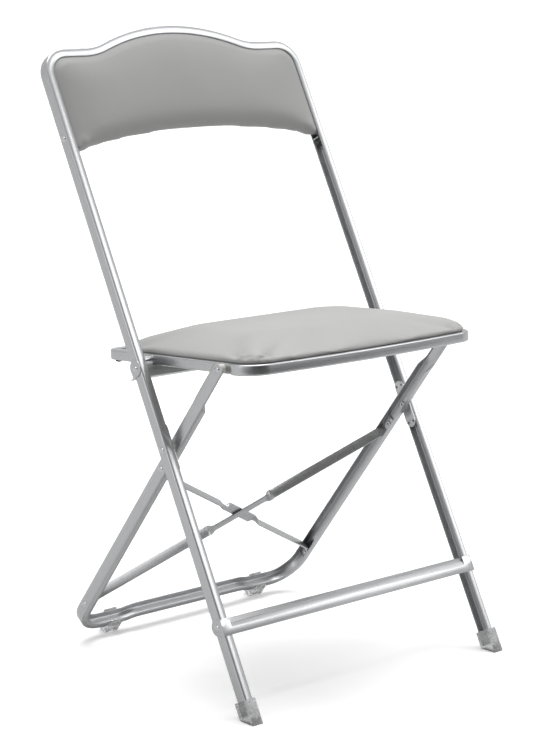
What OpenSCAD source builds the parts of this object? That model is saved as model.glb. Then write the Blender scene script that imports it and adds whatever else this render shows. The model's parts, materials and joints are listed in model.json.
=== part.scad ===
// Crown-back steel folding chair with padded seat and back.
// Millimetres, +Z up. The origin is on the floor, at the centre of the chair's footprint box.
// The chair faces -Y. X runs across it.

/* [Overall] */
// Height of the crown above the floor
overall_height = 851; // [800:1:900]
// Width across the outside of the front frame
frame_width = 450; // [420:1:490]
// Lean of the front frame from the vertical, in degrees
front_lean = 28; // [26:0.5:29]
// Lean of the rear frame from the vertical, in degrees
rear_lean = 38; // [37:0.5:40]

/* [Channel] */
// Depth of the frame channel, front to back
channel_depth = 18; // [16:0.5:21]
// Width of the channel's flanges
channel_flange = 12; // [10:0.5:13]
// Thickness of the channel's steel
channel_wall = 1.2; // [1:0.1:1.6]

/* [Crown] */
// Radius of the frame's top corners
crown_corner = 37; // [30:1:44]
// Radius of the arch in the middle of the crown
crown_arch = 320; // [290:5:350]
// Radius of the hollows beside the arch
crown_saddle = 90; // [70:5:100]
// Angle that each half of the arch sweeps
crown_sweep = 22; // [19:0.5:23]

/* [Fold] */
// Distance up the front leg from the floor to the crossing pivot
crossing_reach = 370; // [350:1:390]
// Distance from the crossing pivot to the seat hinge, and from there to the slide pin
link_length = 149; // [140:1:158]

/* [Rear frame] */
// Radius of the rear frame's lower corners
rear_corner = 48; // [40:1:52]
// Clear height of the floor bar above the floor
bar_clearance = 11.4; // [9:0.1:14]
// Rise of the floor bar's middle
bar_rise = 4.5; // [3:0.5:6]
// Half the width of the floor bar's raised middle
bar_raised_half = 107; // [100:1:108]
// Width of the cross brace strap
brace_width = 14.5; // [12:0.5:15]
// Thickness of the cross brace strap
brace_wall = 2; // [1.5:0.1:2.2]

/* [Seat] */
// Height of the seat rim's channel
rim_height = 14; // [13:0.5:17]
// Width of the washers between the rear legs and the seat rim
hinge_spacer = 8.9; // [8:0.1:14]
// How far the rim steps out ahead of the hinge
rim_step = 5; // [3:0.5:5]
// Reach of the straight rim ahead of the hinge before the front corners
rim_front = 24; // [21:0.5:24]
// Radius of the rim's front corners
rim_corner = 36; // [28:1:44]
// Reach of the rim behind the hinge
rim_tail = 250; // [235:1:252]
// Thickness of the seat board
board_wall = 6; // [5:0.5:9]
// Height of the seat pad above the rim
pad_height = 30; // [24:1:34]

/* [Fittings] */
// Height of the footrest bar, along the front legs
stretcher_height = 22; // [18:1:26]
// Distance up the front leg to the footrest's lower edge
stretcher_reach = 117; // [105:1:130]
// Height of the rear crossbar
crossbar_height = 16; // [14:0.5:20]
// Thickness of the footrest, crossbar and bracket sheet
strap_wall = 1.5; // [1.2:0.1:2]
// Wall of the clear plastic feet
foot_wall = 2.5; // [2:0.1:3]
// Radius of the main rivet shanks
rivet_shank = 3; // [2.5:0.1:3.5]

/* [Hidden] */
$fn = 64;

// Fits and clearances
running_gap = 0.05;
side_play = 0.2;
rest_gap = 0.3;
slide_gap = 0.4;
overcut = 5;
arc_step = 4.5;

// Small hardware
rivet_head = 5.5;
rivet_dome = 2.2;
rivet_tail = 4.6;
tail_height = 1.4;
plate_wall = 1.5;
plate_half = 34.5;
plate_hole = 1.6;
plate_hole_reach = 27;
plate_hole_side = 5;
crossing_spacer = 3.6;
spacer_radius = 7;
bush_radius = channel_depth / 2 - channel_wall - slide_gap;
collar_radius = 6;

// Front frame
half_width = frame_width / 2;
mid_depth = channel_depth / 2;
frame_reach = overall_height / cos(front_lean);
shoulder_reach = frame_reach - (crown_arch + crown_saddle) * (1 - cos(crown_sweep));
shoulder_length = half_width - crown_corner - (crown_arch + crown_saddle) * sin(crown_sweep);
leg_start = channel_depth * tan(front_lean) + 3.5;
foot_top = leg_start + 20;

// Fold: the crossing pivot, the slide pin and the seat hinge form an isosceles triangle, so the
// slide pin stays on the front channel's middle line at every angle of the fold.
spread = front_lean + rear_lean;
seat_tilt = 90 - 2 * front_lean - rear_lean;
slide_reach = crossing_reach + 2 * link_length * cos(spread);
crossing_y = crossing_reach * sin(front_lean) + mid_depth * cos(front_lean);
crossing_z = crossing_reach * cos(front_lean) - mid_depth * sin(front_lean);

// Rear frame
plate_inner = half_width - channel_flange - plate_wall;
rear_half = plate_inner - crossing_spacer - 2 * side_play;
bar_reach = (crossing_z - mid_depth * sin(rear_lean) - bar_clearance) / cos(rear_lean);
bar_kink_radius = 60;
bar_kink = acos(1 - bar_rise / (2 * bar_kink_radius));
bar_ramp = 2 * bar_kink_radius * sin(bar_kink);
lip_width = 3.5;
lip_start = link_length - 58;
flange_end = link_length - 73;
rear_leg_end = mid_depth;
brace_low = bar_reach - 59;
brace_high = 41.5;
brace_tab = 17;
brace_overhang = 11;
brace_flat_half = 40;
brace_twist = 16;
brace_bend = 5;
brace_rings = 12;
brace_gap = 0.15;
glide_width = 22;
glide_middle = bar_raised_half + bar_ramp / 2 + glide_width / 2 + 1;
glide_grip = 14;
glide_drop = 18;

// Seat
rim_half = rear_half - channel_wall - hinge_spacer - 2 * side_play;
rim_top = rim_height / 2;
rim_outer = rim_half + rim_step;
joggle_out = channel_flange + 2;
joggle_in = 5;
joggle_turn = acos(1 - rim_step / (joggle_out + joggle_in));
joggle_length = (joggle_out + joggle_in) * sin(joggle_turn);
bow_turn = 6;
bow_radius = (rim_outer - rim_corner + rim_corner * sin(bow_turn)) / sin(bow_turn);
rim_rear_corner = 18;
pad_inset = 4;
pad_tail = rim_tail - 33;
pad_rear_corner = 30;
board_inset = 1.5;
screw_rows = [25, 95, 170];
screw_inset = 8.8;
screw_shank = 1.8;
screw_head = 3;

// Rear crossbar: its top edge meets the rim's underside just behind the front legs.
crossbar_top = slide_reach - rim_top * sin(spread)
    + (mid_depth - rim_top * cos(spread)) / tan(spread) - rest_gap;
crossbar_rivet = crossbar_top - 4.5;
crossbar_lip = 8;
ear_radius = 11;

// Back
back_bottom = frame_reach - 156;
back_bottom_side = back_bottom - 23;
back_gap = 4;
back_wall = 5;
back_board_inset = 6;
back_front = 12;
back_rear = 4;
bracket_rivet = back_bottom_side + 24;
bracket_low = back_bottom_side - 20;
bumper_reach = back_bottom_side - 12;
bracket_width = 12;

// Footprint box, which sets the origin
foot_y = -foot_wall / cos(front_lean);
crown_y = frame_reach * sin(front_lean) + channel_depth * cos(front_lean);
glide_y = crossing_y + (bar_reach + glide_drop) * sin(rear_lean)
    + (mid_depth + foot_wall) * cos(rear_lean);
middle_y = (foot_y + max(crown_y, glide_y)) / 2;

// ---- Placing -------------------------------------------------------------------------------

// Front frame's plane: Y runs up the leg from the floor, Z = 0 is the front flanges' face.
module front_plane() {
    translate([0, -middle_y, 0]) rotate([90 - front_lean, 0, 0]) children();
}

// Rear frame's plane: the origin is the crossing pivot, Y runs up the leg to the seat hinge.
module rear_plane() {
    translate([0, crossing_y - middle_y, crossing_z]) rotate([90 + rear_lean, 0, 0]) children();
}

// Seat's plane: the origin is the seat hinge, Y runs to the rear, through the slide pin.
module seat_plane() {
    rear_plane() translate([0, link_length, 0]) rotate([seat_tilt - 90 - rear_lean, 0, 0])
        children();
}

// The part on the +X side and its mirror image.
module both_sides() {
    children();
    mirror([1, 0, 0]) children();
}

// A cylinder along X, from the origin.
module rod(radius, length) {
    rotate([0, 90, 0]) cylinder(r = radius, h = length);
}

// A dome-headed rivet along -X: the head sits outside X = 0, the shank runs inwards.
module rivet(grip, shank = rivet_shank, head = rivet_head, tail = rivet_tail) {
    translate([-grip - tail_height, 0, 0]) rod(tail, tail_height);
    translate([-grip, 0, 0]) rod(shank, grip);
    rotate([0, 90, 0]) dome(head, rivet_dome);
}

// A spherical cap of a given foot radius and height.
module dome(foot, rise) {
    ball = (foot * foot + rise * rise) / (2 * rise);
    rotate_extrude() intersection() {
        translate([0, rise - ball]) circle(ball);
        square([foot, rise]);
    }
}

// ---- Bent sheet ----------------------------------------------------------------------------

// Steps of a bent path: ["go", length], ["right", radius, angle] or ["left", radius, angle].
// The radius is that of the path's own line.

// The frames of a bent path: each is a point and its heading, with the arcs cut into short steps.
function path_frames(steps, point = [0, 0], heading = 90, at = 0) =
    at == len(steps) ? [[point[0], point[1], heading]] :
    steps[at][0] == "go" ? concat([[point[0], point[1], heading]],
        path_frames(steps, point + steps[at][1] * [cos(heading), sin(heading)], heading, at + 1)) :
    let (
        side = steps[at][0] == "right" ? -1 : 1,
        radius = side * steps[at][1],
        angle = side * steps[at][2],
        centre = point + radius * [-sin(heading), cos(heading)],
        count = max(3, ceil(steps[at][2] / arc_step))
    ) concat(
        [for (k = [0:count - 1]) let (turned = heading + angle * k / count)
            [each (centre + radius * [sin(turned), -cos(turned)]), turned]],
        path_frames(steps, centre + radius * [sin(heading + angle), -cos(heading + angle)],
            heading + angle, at + 1));

// The path's points, moved to its right by an inset.
function inset_points(frames, inset) =
    [for (f = frames) [f[0] + inset * sin(f[2]), f[1] - inset * cos(f[2])]];

function reversed(list) = [for (k = [len(list) - 1:-1:0]) list[k]];

// The band between two insets from a path, closed into a ring or open at its ends.
module band(frames, near, far, closed) {
    if (closed) difference() {
        polygon(inset_points(frames, near));
        polygon(inset_points(frames, far));
    }
    else polygon(concat(inset_points(frames, near), reversed(inset_points(frames, far))));
}

// A bent U channel: the web on the path's left, the flanges to its right, from Z = 0 down.
module bent_channel(steps, depth, closed = false) {
    frames = path_frames(steps);
    difference() {
        translate([0, 0, -depth]) linear_extrude(depth) band(frames, 0, channel_flange, closed);
        translate([0, 0, channel_wall - depth]) linear_extrude(depth - 2 * channel_wall)
            band(frames, channel_wall, channel_flange + 1, closed);
    }
}

// A bent strip's outline: it lies to the right of the path and starts along +Y.
module ribbon(steps, wall, at = 0) {
    if (at < len(steps)) {
        step = steps[at];
        if (step[0] == "go") {
            square([wall, step[1]]);
            translate([0, step[1]]) ribbon(steps, wall, at + 1);
        }
        if (step[0] == "right") {
            translate([step[1], 0]) rotate(180 - step[2])
                arc_strip(step[1] - wall, step[1], step[2]);
            translate([step[1] * (1 - cos(step[2])), step[1] * sin(step[2])])
                rotate(-step[2]) ribbon(steps, wall, at + 1);
        }
        if (step[0] == "left") {
            translate([-step[1], 0]) arc_strip(step[1], step[1] + wall, step[2]);
            translate([-step[1] * (1 - cos(step[2])), step[1] * sin(step[2])])
                rotate(step[2]) ribbon(steps, wall, at + 1);
        }
    }
}

// Part of a ring, from angle 0 to the given angle.
module arc_strip(inner, outer, angle) {
    intersection() {
        difference() {
            circle(outer);
            circle(inner);
        }
        polygon(concat([[0, 0]],
            [for (k = [0:4]) 2 * outer * [cos(angle * k / 4), sin(angle * k / 4)]]));
    }
}

// Points on an arc about a centre, both ends included.
function arc_points(centre, radius, from, to, count) =
    [for (k = [0:count]) centre + radius * [cos(from + (to - from) * k / count),
        sin(from + (to - from) * k / count)]];

// ---- Front frame ---------------------------------------------------------------------------

// One channel bent into both front legs, both uprights and the crown.
module front_frame() {
    side = shoulder_reach - crown_corner - leg_start;
    steps = [["go", side], ["right", crown_corner, 90], ["go", shoulder_length],
        ["left", crown_saddle, crown_sweep], ["right", crown_arch, 2 * crown_sweep],
        ["left", crown_saddle, crown_sweep], ["go", shoulder_length],
        ["right", crown_corner, 90], ["go", side]];
    color("silver") front_plane() difference() {
        translate([-half_width, leg_start, 0]) bent_channel(steps, channel_depth);
        for (reach = [crossing_reach, crossbar_rivet, stretcher_rivet(), bracket_rivet])
            web_hole(reach, rivet_shank);
    }
}

// A hole through both webs of the front frame.
module web_hole(reach, radius) {
    both_sides() translate([half_width - overcut, reach, -mid_depth]) rod(radius, 2 * overcut);
}

// Distance up the leg to the footrest's rivets.
function stretcher_rivet() = stretcher_reach + 0.6 * stretcher_height;

// Footrest bar: a bent strip between the legs, flat straps over them and ears on their webs.
module stretcher() {
    lower = 0.42 * stretcher_height;
    bend = 5;
    turn = 18;
    upper = (stretcher_height - lower - bend * sin(turn)) / cos(turn);
    inner = half_width - channel_flange - 1;
    outer = half_width + strap_wall;
    color("silver") front_plane() difference() {
        union() {
            translate([-inner, stretcher_reach, strap_wall]) rotate([0, 90, 0])
                linear_extrude(2 * inner)
                ribbon([["go", lower], ["right", bend, turn], ["go", upper]], strap_wall);
            both_sides() {
                translate([inner - 1, stretcher_reach, 0])
                    cube([outer - inner + 1, stretcher_height, strap_wall]);
                translate([half_width, stretcher_reach, -mid_depth])
                    cube([strap_wall, stretcher_height, mid_depth + strap_wall]);
                translate([half_width, stretcher_rivet(), -mid_depth])
                    rod(ear_radius, strap_wall);
            }
        }
        web_hole(stretcher_rivet(), rivet_shank);
    }
}

// Rivets that hold the footrest's ears.
module stretcher_rivets() {
    color("gainsboro") front_plane() both_sides()
        translate([half_width + strap_wall, stretcher_rivet(), -mid_depth])
        rivet(strap_wall + channel_wall);
}

// Crossbar behind the uprights, which the seat rests on, with ears on the outside of the webs.
module rear_crossbar() {
    back = -channel_depth - strap_wall;
    outer = half_width + strap_wall;
    low = crossbar_top - crossbar_height;
    color("silver") front_plane() difference() {
        union() {
            translate([-outer, low, back]) cube([2 * outer, crossbar_height, strap_wall]);
            translate([-half_width, low, back - crossbar_lip])
                cube([2 * half_width, strap_wall, crossbar_lip + strap_wall]);
            both_sides() translate([half_width, 0, 0]) {
                translate([0, crossbar_rivet, -mid_depth]) rod(ear_radius, strap_wall);
                translate([0, low, back])
                    cube([strap_wall, crossbar_height, mid_depth + strap_wall]);
            }
        }
        web_hole(crossbar_rivet, rivet_shank);
    }
}

// Rivets that hold the crossbar's ears.
module crossbar_rivets() {
    color("gainsboro") front_plane() both_sides()
        translate([half_width + strap_wall, crossbar_rivet, -mid_depth])
        rivet(strap_wall + channel_wall);
}

// Plate across the mouth of the channel, which carries the crossing pivot.
module pivot_plate() {
    front_plane() translate([plate_inner, crossing_reach, -mid_depth]) difference() {
        union() {
            translate([0, mid_depth - plate_half, -mid_depth])
                cube([plate_wall, 2 * (plate_half - mid_depth), channel_depth]);
            for (end = [-1, 1]) translate([0, end * (plate_half - mid_depth), 0])
                rod(mid_depth, plate_wall);
        }
        translate([-overcut, 0, 0]) rod(rivet_shank, 2 * overcut);
        for (end = [-1, 1], side = [-1, 1])
            translate([-overcut, end * plate_hole_reach, side * plate_hole_side])
            rod(plate_hole, 2 * overcut);
    }
}

module pivot_plate_left() {
    color("silver") mirror([1, 0, 0]) pivot_plate();
}

module pivot_plate_right() {
    color("silver") pivot_plate();
}

// Rivets that the rear frame turns on, from the outer webs to inside the rear legs.
module crossing_rivets() {
    color("gainsboro") front_plane() both_sides()
        translate([half_width, crossing_reach, -mid_depth])
        rivet(half_width - rear_half + channel_wall + side_play);
}

// Nylon washers between the pivot plates and the rear legs.
module crossing_spacers() {
    color("whitesmoke") front_plane() both_sides()
        translate([rear_half + side_play, crossing_reach, -mid_depth]) difference() {
            rod(spacer_radius, crossing_spacer);
            translate([-overcut, 0, 0]) rod(rivet_shank, 4 * overcut);
        }
}

// Clear cap on a front leg, cut level at the floor.
module front_foot() {
    low = half_width - channel_flange - foot_wall;
    difference() {
        front_plane() {
            difference() {
                translate([low, -foot_wall * tan(front_lean) - overcut, -channel_depth - foot_wall])
                    cube([channel_flange + 2 * foot_wall,
                        foot_top + foot_wall * tan(front_lean) + overcut,
                        channel_depth + 2 * foot_wall]);
                translate([half_width - channel_flange, leg_start, -channel_depth])
                    cube([channel_flange, foot_top, channel_depth]);
            }
            translate([half_width + foot_wall, foot_top / 2 + 3, -mid_depth]) rod(3.5, 0.8);
        }
        translate([0, -middle_y - 2 * overcut, -4 * overcut])
            cube([frame_width, 60, 4 * overcut]);
    }
}

module front_foot_left() {
    color("aliceblue", 0.6) mirror([1, 0, 0]) front_foot();
}

module front_foot_right() {
    color("aliceblue", 0.6) front_foot();
}

// ---- Back ----------------------------------------------------------------------------------

// Outline of the crown's inside, drawn in from the frame's outer edge, with an arched lower edge
// that can be lifted.
function back_outline(inset, lift = 0) =
    let (
        side = half_width - inset,
        corner = crown_corner - inset,
        shoulder = shoulder_reach - inset,
        arch_y = frame_reach - crown_arch,
        saddle_x = (crown_arch + crown_saddle) * sin(crown_sweep),
        saddle_y = shoulder_reach + crown_saddle,
        rise = back_bottom - back_bottom_side,
        sweep_r = (side * side + rise * rise) / (2 * rise),
        sweep_a = asin(side / sweep_r),
        right_top = concat(
            arc_points([0, arch_y], crown_arch - inset, 90, 90 - crown_sweep, 6),
            arc_points([saddle_x, saddle_y], crown_saddle + inset, 270 - crown_sweep, 270, 4),
            arc_points([side - corner, shoulder - corner], corner, 90, 0, 6)),
        lower = arc_points([0, back_bottom + lift - sweep_r], sweep_r, 90 - sweep_a, 90 + sweep_a,
            16),
        left_top = [for (k = [len(right_top) - 1:-1:1]) [-right_top[k][0], right_top[k][1]]]
    ) concat(right_top, lower, left_top);

// A slab of the back's outline between two depths.
module back_slab(inset, low, high, lift = 0) {
    translate([0, 0, low]) linear_extrude(high - low) polygon(back_outline(inset, lift));
}

// The space of the panel inside the back pad.
module board_space() {
    back_slab(back_gap + back_board_inset, -mid_depth - back_wall / 2,
        -mid_depth + back_wall / 2, back_board_inset);
}

// Hardboard panel inside the back pad.
module back_board() {
    color("gray") front_plane() board_space();
}

// Padded back: edges inside the channel, the faces bulging between the flanges.
module back_pad() {
    edge = mid_depth - channel_wall - slide_gap;
    color("darkgray") front_plane() difference() {
        union() {
            back_slab(back_gap, -mid_depth - edge, -mid_depth + edge);
            back_slab(channel_flange + 1, -channel_depth - back_rear, back_front);
        }
        board_space();
        both_sides() translate([half_width - channel_wall, bracket_rivet, -mid_depth])
            translate([-overcut, 0, 0]) rod(rivet_tail + 1, overcut);
    }
}

// Brackets riveted inside the channels, each with a tab under a lower corner of the back.
module back_brackets() {
    high = bracket_rivet + 7;
    tab = back_bottom_side - 3;
    color("silver") front_plane() both_sides() difference() {
        union() {
            translate([half_width - channel_wall - strap_wall, bracket_low,
                -mid_depth - bracket_width / 2])
                cube([strap_wall, high - bracket_low, bracket_width]);
            translate([half_width - channel_wall - channel_flange, tab - strap_wall,
                -mid_depth - bracket_width / 2])
                cube([channel_flange - 0.5, strap_wall, bracket_width]);
        }
        translate([half_width - 2 * overcut, bracket_rivet, -mid_depth])
            rod(rivet_shank, 2 * overcut);
    }
}

// Rivets that hold the back's brackets.
module back_rivets() {
    color("gainsboro") front_plane() both_sides()
        translate([half_width, bracket_rivet, -mid_depth])
        rivet(channel_wall + strap_wall, tail = rivet_shank + 0.2);
}

// Rubber buttons on the brackets, just below the back.
module back_bumpers() {
    color("dimgray") front_plane() both_sides()
        translate([half_width - channel_wall - strap_wall, bumper_reach, -mid_depth])
        rotate([0, -90, 0]) {
            cylinder(r = 4, h = 4);
            translate([0, 0, 4]) dome(4, 1.5);
        }
}

// ---- Rear frame ----------------------------------------------------------------------------

// One channel bent into both rear legs and the floor bar.
module rear_frame() {
    side = bar_reach - rear_corner + link_length + rear_leg_end;
    flat = rear_half - rear_corner - bar_raised_half - bar_ramp / 2;
    steps = [["go", side], ["right", rear_corner, 90], ["go", flat],
        ["right", bar_kink_radius, bar_kink], ["left", bar_kink_radius, bar_kink],
        ["go", 2 * bar_raised_half - bar_ramp],
        ["left", bar_kink_radius, bar_kink], ["right", bar_kink_radius, bar_kink],
        ["go", flat], ["right", rear_corner, 90], ["go", side]];
    color("silver") rear_plane() difference() {
        translate([rear_half, link_length + rear_leg_end, mid_depth]) rotate([0, 0, 180])
            bent_channel(steps, channel_depth);
        both_sides() {
            leg_top_cut();
            for (reach = [0, link_length])
                rear_web_hole(reach, reach == 0 ? rivet_shank + running_gap : rivet_shank);
            for (reach = [-brace_high, -brace_low]) rear_web_hole(reach, rivet_shank);
        }
    }
}

// What the top of a rear leg lacks: its flanges above the taper, and the corners of its end.
module leg_top_cut() {
    lip_edge = rear_half - lip_width;
    flange_edge = rear_half - channel_flange - 1;
    top = link_length + rear_leg_end + 1;
    translate([0, 0, -channel_depth]) linear_extrude(2 * channel_depth)
        polygon([[lip_edge, top], [lip_edge, lip_start], [flange_edge, flange_end],
            [flange_edge, top]]);
    translate([rear_half - 2 * channel_flange, link_length, 0]) difference() {
        translate([0, 0, -channel_depth])
            cube([3 * channel_flange, channel_depth, 2 * channel_depth]);
        rod(mid_depth, 3 * channel_flange);
    }
}

// A hole through the rear leg's web.
module rear_web_hole(reach, radius) {
    translate([rear_half - overcut, reach, 0]) rod(radius, 2 * overcut);
}

// Cross brace, from low on one rear leg to high on the other: its ends lie flat on the webs, it
// runs edge-on, and a quarter twist on each side lays it flat where the two braces cross.
module brace() {
    difference() {
        brace_strap();
        for (side = [-1, 1]) translate([side * rear_half - overcut,
            side > 0 ? -brace_high : -brace_low, 0]) rod(rivet_shank, 2 * overcut);
    }
}

// The strap's middle line: a tab up the leg, a bend, the run across and the same at its far end.
function brace_frames() =
    let (
        span = 2 * (rear_half - channel_wall) - brace_wall,
        rise = brace_low - brace_high + 2 * brace_overhang - 2 * brace_tab,
        reach = norm([span - 2 * brace_bend, rise]),
        turn = atan2(span - 2 * brace_bend, rise) + asin(2 * brace_bend / reach),
        run = sqrt(reach * reach - 4 * brace_bend * brace_bend),
        outer_run = run / 2 - brace_flat_half - brace_twist,
        twist = [for (k = [1:brace_rings]) ["go", brace_twist / brace_rings]]
    ) path_frames(concat([["go", brace_tab], ["right", brace_bend, turn], ["go", outer_run]],
        twist, [["go", 2 * brace_flat_half]], twist,
        [["go", outer_run], ["left", brace_bend, turn], ["go", brace_tab]]),
        [-span / 2, -brace_low - brace_overhang]);

// The corners of the strap's section at one frame. It is flat and lifted clear of the other brace
// within the middle, and turns edge-on beyond it.
function brace_section(frame) =
    let (
        away = norm([frame[0], frame[1] + (brace_low + brace_high) / 2]),
        share = min(1, max(0, (away - brace_flat_half) / brace_twist)),
        ease = share * share * (3 - 2 * share),
        right = [sin(frame[2]), -cos(frame[2]), 0],
        up = [0, 0, 1],
        across = brace_width / 2 * (cos(90 * ease) * right + sin(90 * ease) * up),
        through = brace_wall / 2 * (cos(90 * ease) * up - sin(90 * ease) * right),
        centre = [frame[0], frame[1], (1 - ease) * (brace_gap + brace_wall / 2)]
    ) [for (c = [[-1, -1], [1, -1], [1, 1], [-1, 1]]) centre + c[0] * across + c[1] * through];

// The strap, swept along its middle line.
module brace_strap() {
    frames = brace_frames();
    points = [for (frame = frames) each brace_section(frame)];
    sides = [for (k = [0:len(frames) - 2], c = [0:3])
        let (a = 4 * k + c, b = 4 * k + (c + 1) % 4) each [[a, b, b + 4], [a, b + 4, a + 4]]];
    last = 4 * (len(frames) - 1);
    ends = [[2, 1, 0], [3, 2, 0], [last, last + 1, last + 2], [last, last + 2, last + 3]];
    polyhedron(points, concat(sides, ends));
}

module brace_front() {
    color("silver") rear_plane() brace();
}

module brace_rear() {
    color("silver") rear_plane() mirror([1, 0, 0]) mirror([0, 0, 1]) brace();
}

// Rivets that hold the braces to the rear legs.
module brace_rivets() {
    color("gainsboro") rear_plane() both_sides() for (reach = [-brace_high, -brace_low])
        translate([rear_half, reach, 0]) rivet(channel_wall + brace_wall);
}

// Clear glide clipped round the floor bar, cut level at the floor.
module floor_glide() {
    difference() {
        rear_plane() translate([glide_middle - glide_width / 2, 0, 0]) difference() {
            translate([0, -bar_reach - glide_drop, -mid_depth - foot_wall])
                cube([glide_width, glide_drop + glide_grip, channel_depth + 2 * foot_wall]);
            translate([-1, -bar_reach, -mid_depth])
                cube([glide_width + 2, 2 * glide_grip, channel_depth]);
        }
        translate([0, 0, -8 * overcut]) cube([frame_width, frame_width, 8 * overcut]);
    }
}

module floor_glide_left() {
    color("aliceblue", 0.6) mirror([1, 0, 0]) floor_glide();
}

module floor_glide_right() {
    color("aliceblue", 0.6) floor_glide();
}

// Rivets that the seat turns on, through the tops of the rear legs.
module hinge_rivets() {
    color("gainsboro") rear_plane() both_sides() translate([rear_half, link_length, 0])
        rivet(rear_half - rim_half + channel_wall + side_play, head = 5);
}

// Washers between the rear legs and the seat rim.
module hinge_spacers() {
    color("whitesmoke") rear_plane() both_sides()
        translate([rim_half + side_play, link_length, 0]) difference() {
            rod(collar_radius, hinge_spacer);
            translate([-overcut, 0, 0]) rod(rivet_shank, 5 * overcut);
        }
}

// ---- Seat ----------------------------------------------------------------------------------

// Closed channel loop round the seat: narrow behind the hinge, stepped out ahead of it.
module seat_rim() {
    straight = rim_tail - rim_rear_corner + rim_front - joggle_length;
    side_out = [["go", straight], ["left", joggle_in, joggle_turn],
        ["right", joggle_out, joggle_turn], ["right", rim_corner, 90 - bow_turn]];
    side_back = [["right", rim_corner, 90 - bow_turn], ["right", joggle_out, joggle_turn],
        ["left", joggle_in, joggle_turn], ["go", straight]];
    rear = [["right", rim_rear_corner, 90], ["go", 2 * (rim_half - rim_rear_corner)],
        ["right", rim_rear_corner, 90]];
    color("silver") seat_plane() difference() {
        translate([rim_half, rim_tail - rim_rear_corner, rim_top]) rotate([0, 0, 180])
            bent_channel(concat(side_out, [["right", bow_radius, 2 * bow_turn]], side_back, rear),
                rim_height, closed = true);
        both_sides() {
            translate([rim_half - overcut, 0, 0])
                rod(rivet_shank + running_gap, 2 * overcut);
            translate([rim_half - overcut, link_length, 0]) rod(rivet_shank, 2 * overcut);
            for (row = screw_rows) translate([rim_half - screw_inset, row, 0])
                cylinder(r = screw_shank, h = rim_height);
        }
    }
}

// Plan of the seat inside the rim: bowed front, round corners, square sides.
function seat_outline(inset, tail, rear_corner) =
    let (
        side = rim_half - inset,
        corner = rim_corner - inset,
        bow = bow_radius - inset,
        corner_x = side - corner,
        corner_y = -rim_front,
        bow_a = asin(corner_x / (bow - corner)),
        front = corner_y - corner * cos(bow_a) - bow * (1 - cos(bow_a)),
        right = concat(
            arc_points([0, front + bow], bow, 270, 270 + bow_a, 4),
            arc_points([corner_x, corner_y], corner, 270 + bow_a, 360, 8),
            arc_points([side - rear_corner, tail - rear_corner], rear_corner, 0, 90, 6)),
        left = [for (k = [len(right) - 1:-1:1]) [-right[k][0], right[k][1]]]
    ) concat(right, left);

// Plywood board screwed to the top of the rim.
module seat_board() {
    color("gray") seat_plane() difference() {
        translate([0, 0, rim_top]) linear_extrude(board_wall)
            polygon(seat_outline(pad_inset + board_inset, pad_tail - board_inset,
                pad_rear_corner - board_inset));
        both_sides() for (row = screw_rows) translate([rim_half - screw_inset, row, 0])
            cylinder(r = screw_shank, h = rim_top + board_wall - 1);
    }
}

// Padded seat: foam under vinyl, wrapped over the board's edge.
module seat_pad() {
    color("darkgray") seat_plane() difference() {
        hull() {
            translate([0, 0, rim_top]) linear_extrude(pad_height * 0.4)
                polygon(seat_outline(pad_inset, pad_tail, pad_rear_corner));
            translate([0, 0, rim_top]) linear_extrude(pad_height * 0.75)
                polygon(seat_outline(pad_inset + 9, pad_tail - 9, pad_rear_corner - 9));
            translate([0, 0, rim_top]) linear_extrude(pad_height)
                polygon(seat_outline(pad_inset + 22, pad_tail - 22, 10));
        }
        translate([0, 0, rim_top - 1]) linear_extrude(board_wall + 1)
            polygon(seat_outline(pad_inset + board_inset, pad_tail - board_inset,
                pad_rear_corner - board_inset));
    }
}

// Screws up through the rim's top flange into the board.
module seat_screws() {
    color("gainsboro") seat_plane() both_sides() for (row = screw_rows)
        translate([rim_half - screw_inset, row, rim_top - channel_wall]) {
            cylinder(r = screw_shank, h = channel_wall + board_wall - 1);
            rotate([180, 0, 0]) dome(screw_head, 2);
        }
}

// Pins fixed in the rim, which carry the bushes that slide in the front channels.
module slide_pins() {
    color("gainsboro") seat_plane() both_sides() {
        translate([rim_half - channel_wall - tail_height, link_length, 0])
            rod(rivet_tail, tail_height);
        translate([rim_half - channel_wall, link_length, 0])
            rod(rivet_shank, slide_end() - rim_half + channel_wall);
    }
}

// Outer end of the slide pins and bushes, just inside the front frame's web.
function slide_end() = half_width - channel_wall - tail_height - side_play;

// Collars between the rim and the front channels.
module slide_spacers() {
    color("gainsboro") seat_plane() both_sides() translate([rim_half, link_length, 0])
        difference() {
            rod(collar_radius, half_width - channel_flange - rim_half);
            translate([-overcut, 0, 0]) rod(rivet_shank, frame_width);
        }
}

// Nylon bushes that slide inside the front channels.
module slide_bushes() {
    low = half_width - channel_flange;
    color("whitesmoke") seat_plane() both_sides() translate([low, link_length, 0])
        difference() {
            rod(bush_radius, slide_end() - low);
            translate([-overcut, 0, 0]) rod(rivet_shank, frame_width);
        }
}

// Rubber buttons under the rear corners of the rim.
module tail_bumpers() {
    color("dimgray") seat_plane() both_sides()
        translate([rim_half - screw_inset, rim_tail - rim_rear_corner, -rim_top])
        rotate([180, 0, 0]) {
            cylinder(r = 4.5, h = 2);
            translate([0, 0, 2]) dome(4.5, 1.5);
        }
}

front_frame();
stretcher();
stretcher_rivets();
rear_crossbar();
crossbar_rivets();
pivot_plate_left();
pivot_plate_right();
crossing_rivets();
crossing_spacers();
front_foot_left();
front_foot_right();
back_board();
back_pad();
back_brackets();
back_rivets();
back_bumpers();
rear_frame();
brace_front();
brace_rear();
brace_rivets();
floor_glide_left();
floor_glide_right();
hinge_rivets();
hinge_spacers();
seat_rim();
seat_board();
seat_pad();
seat_screws();
slide_pins();
slide_spacers();
slide_bushes();
tail_bumpers();
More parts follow.
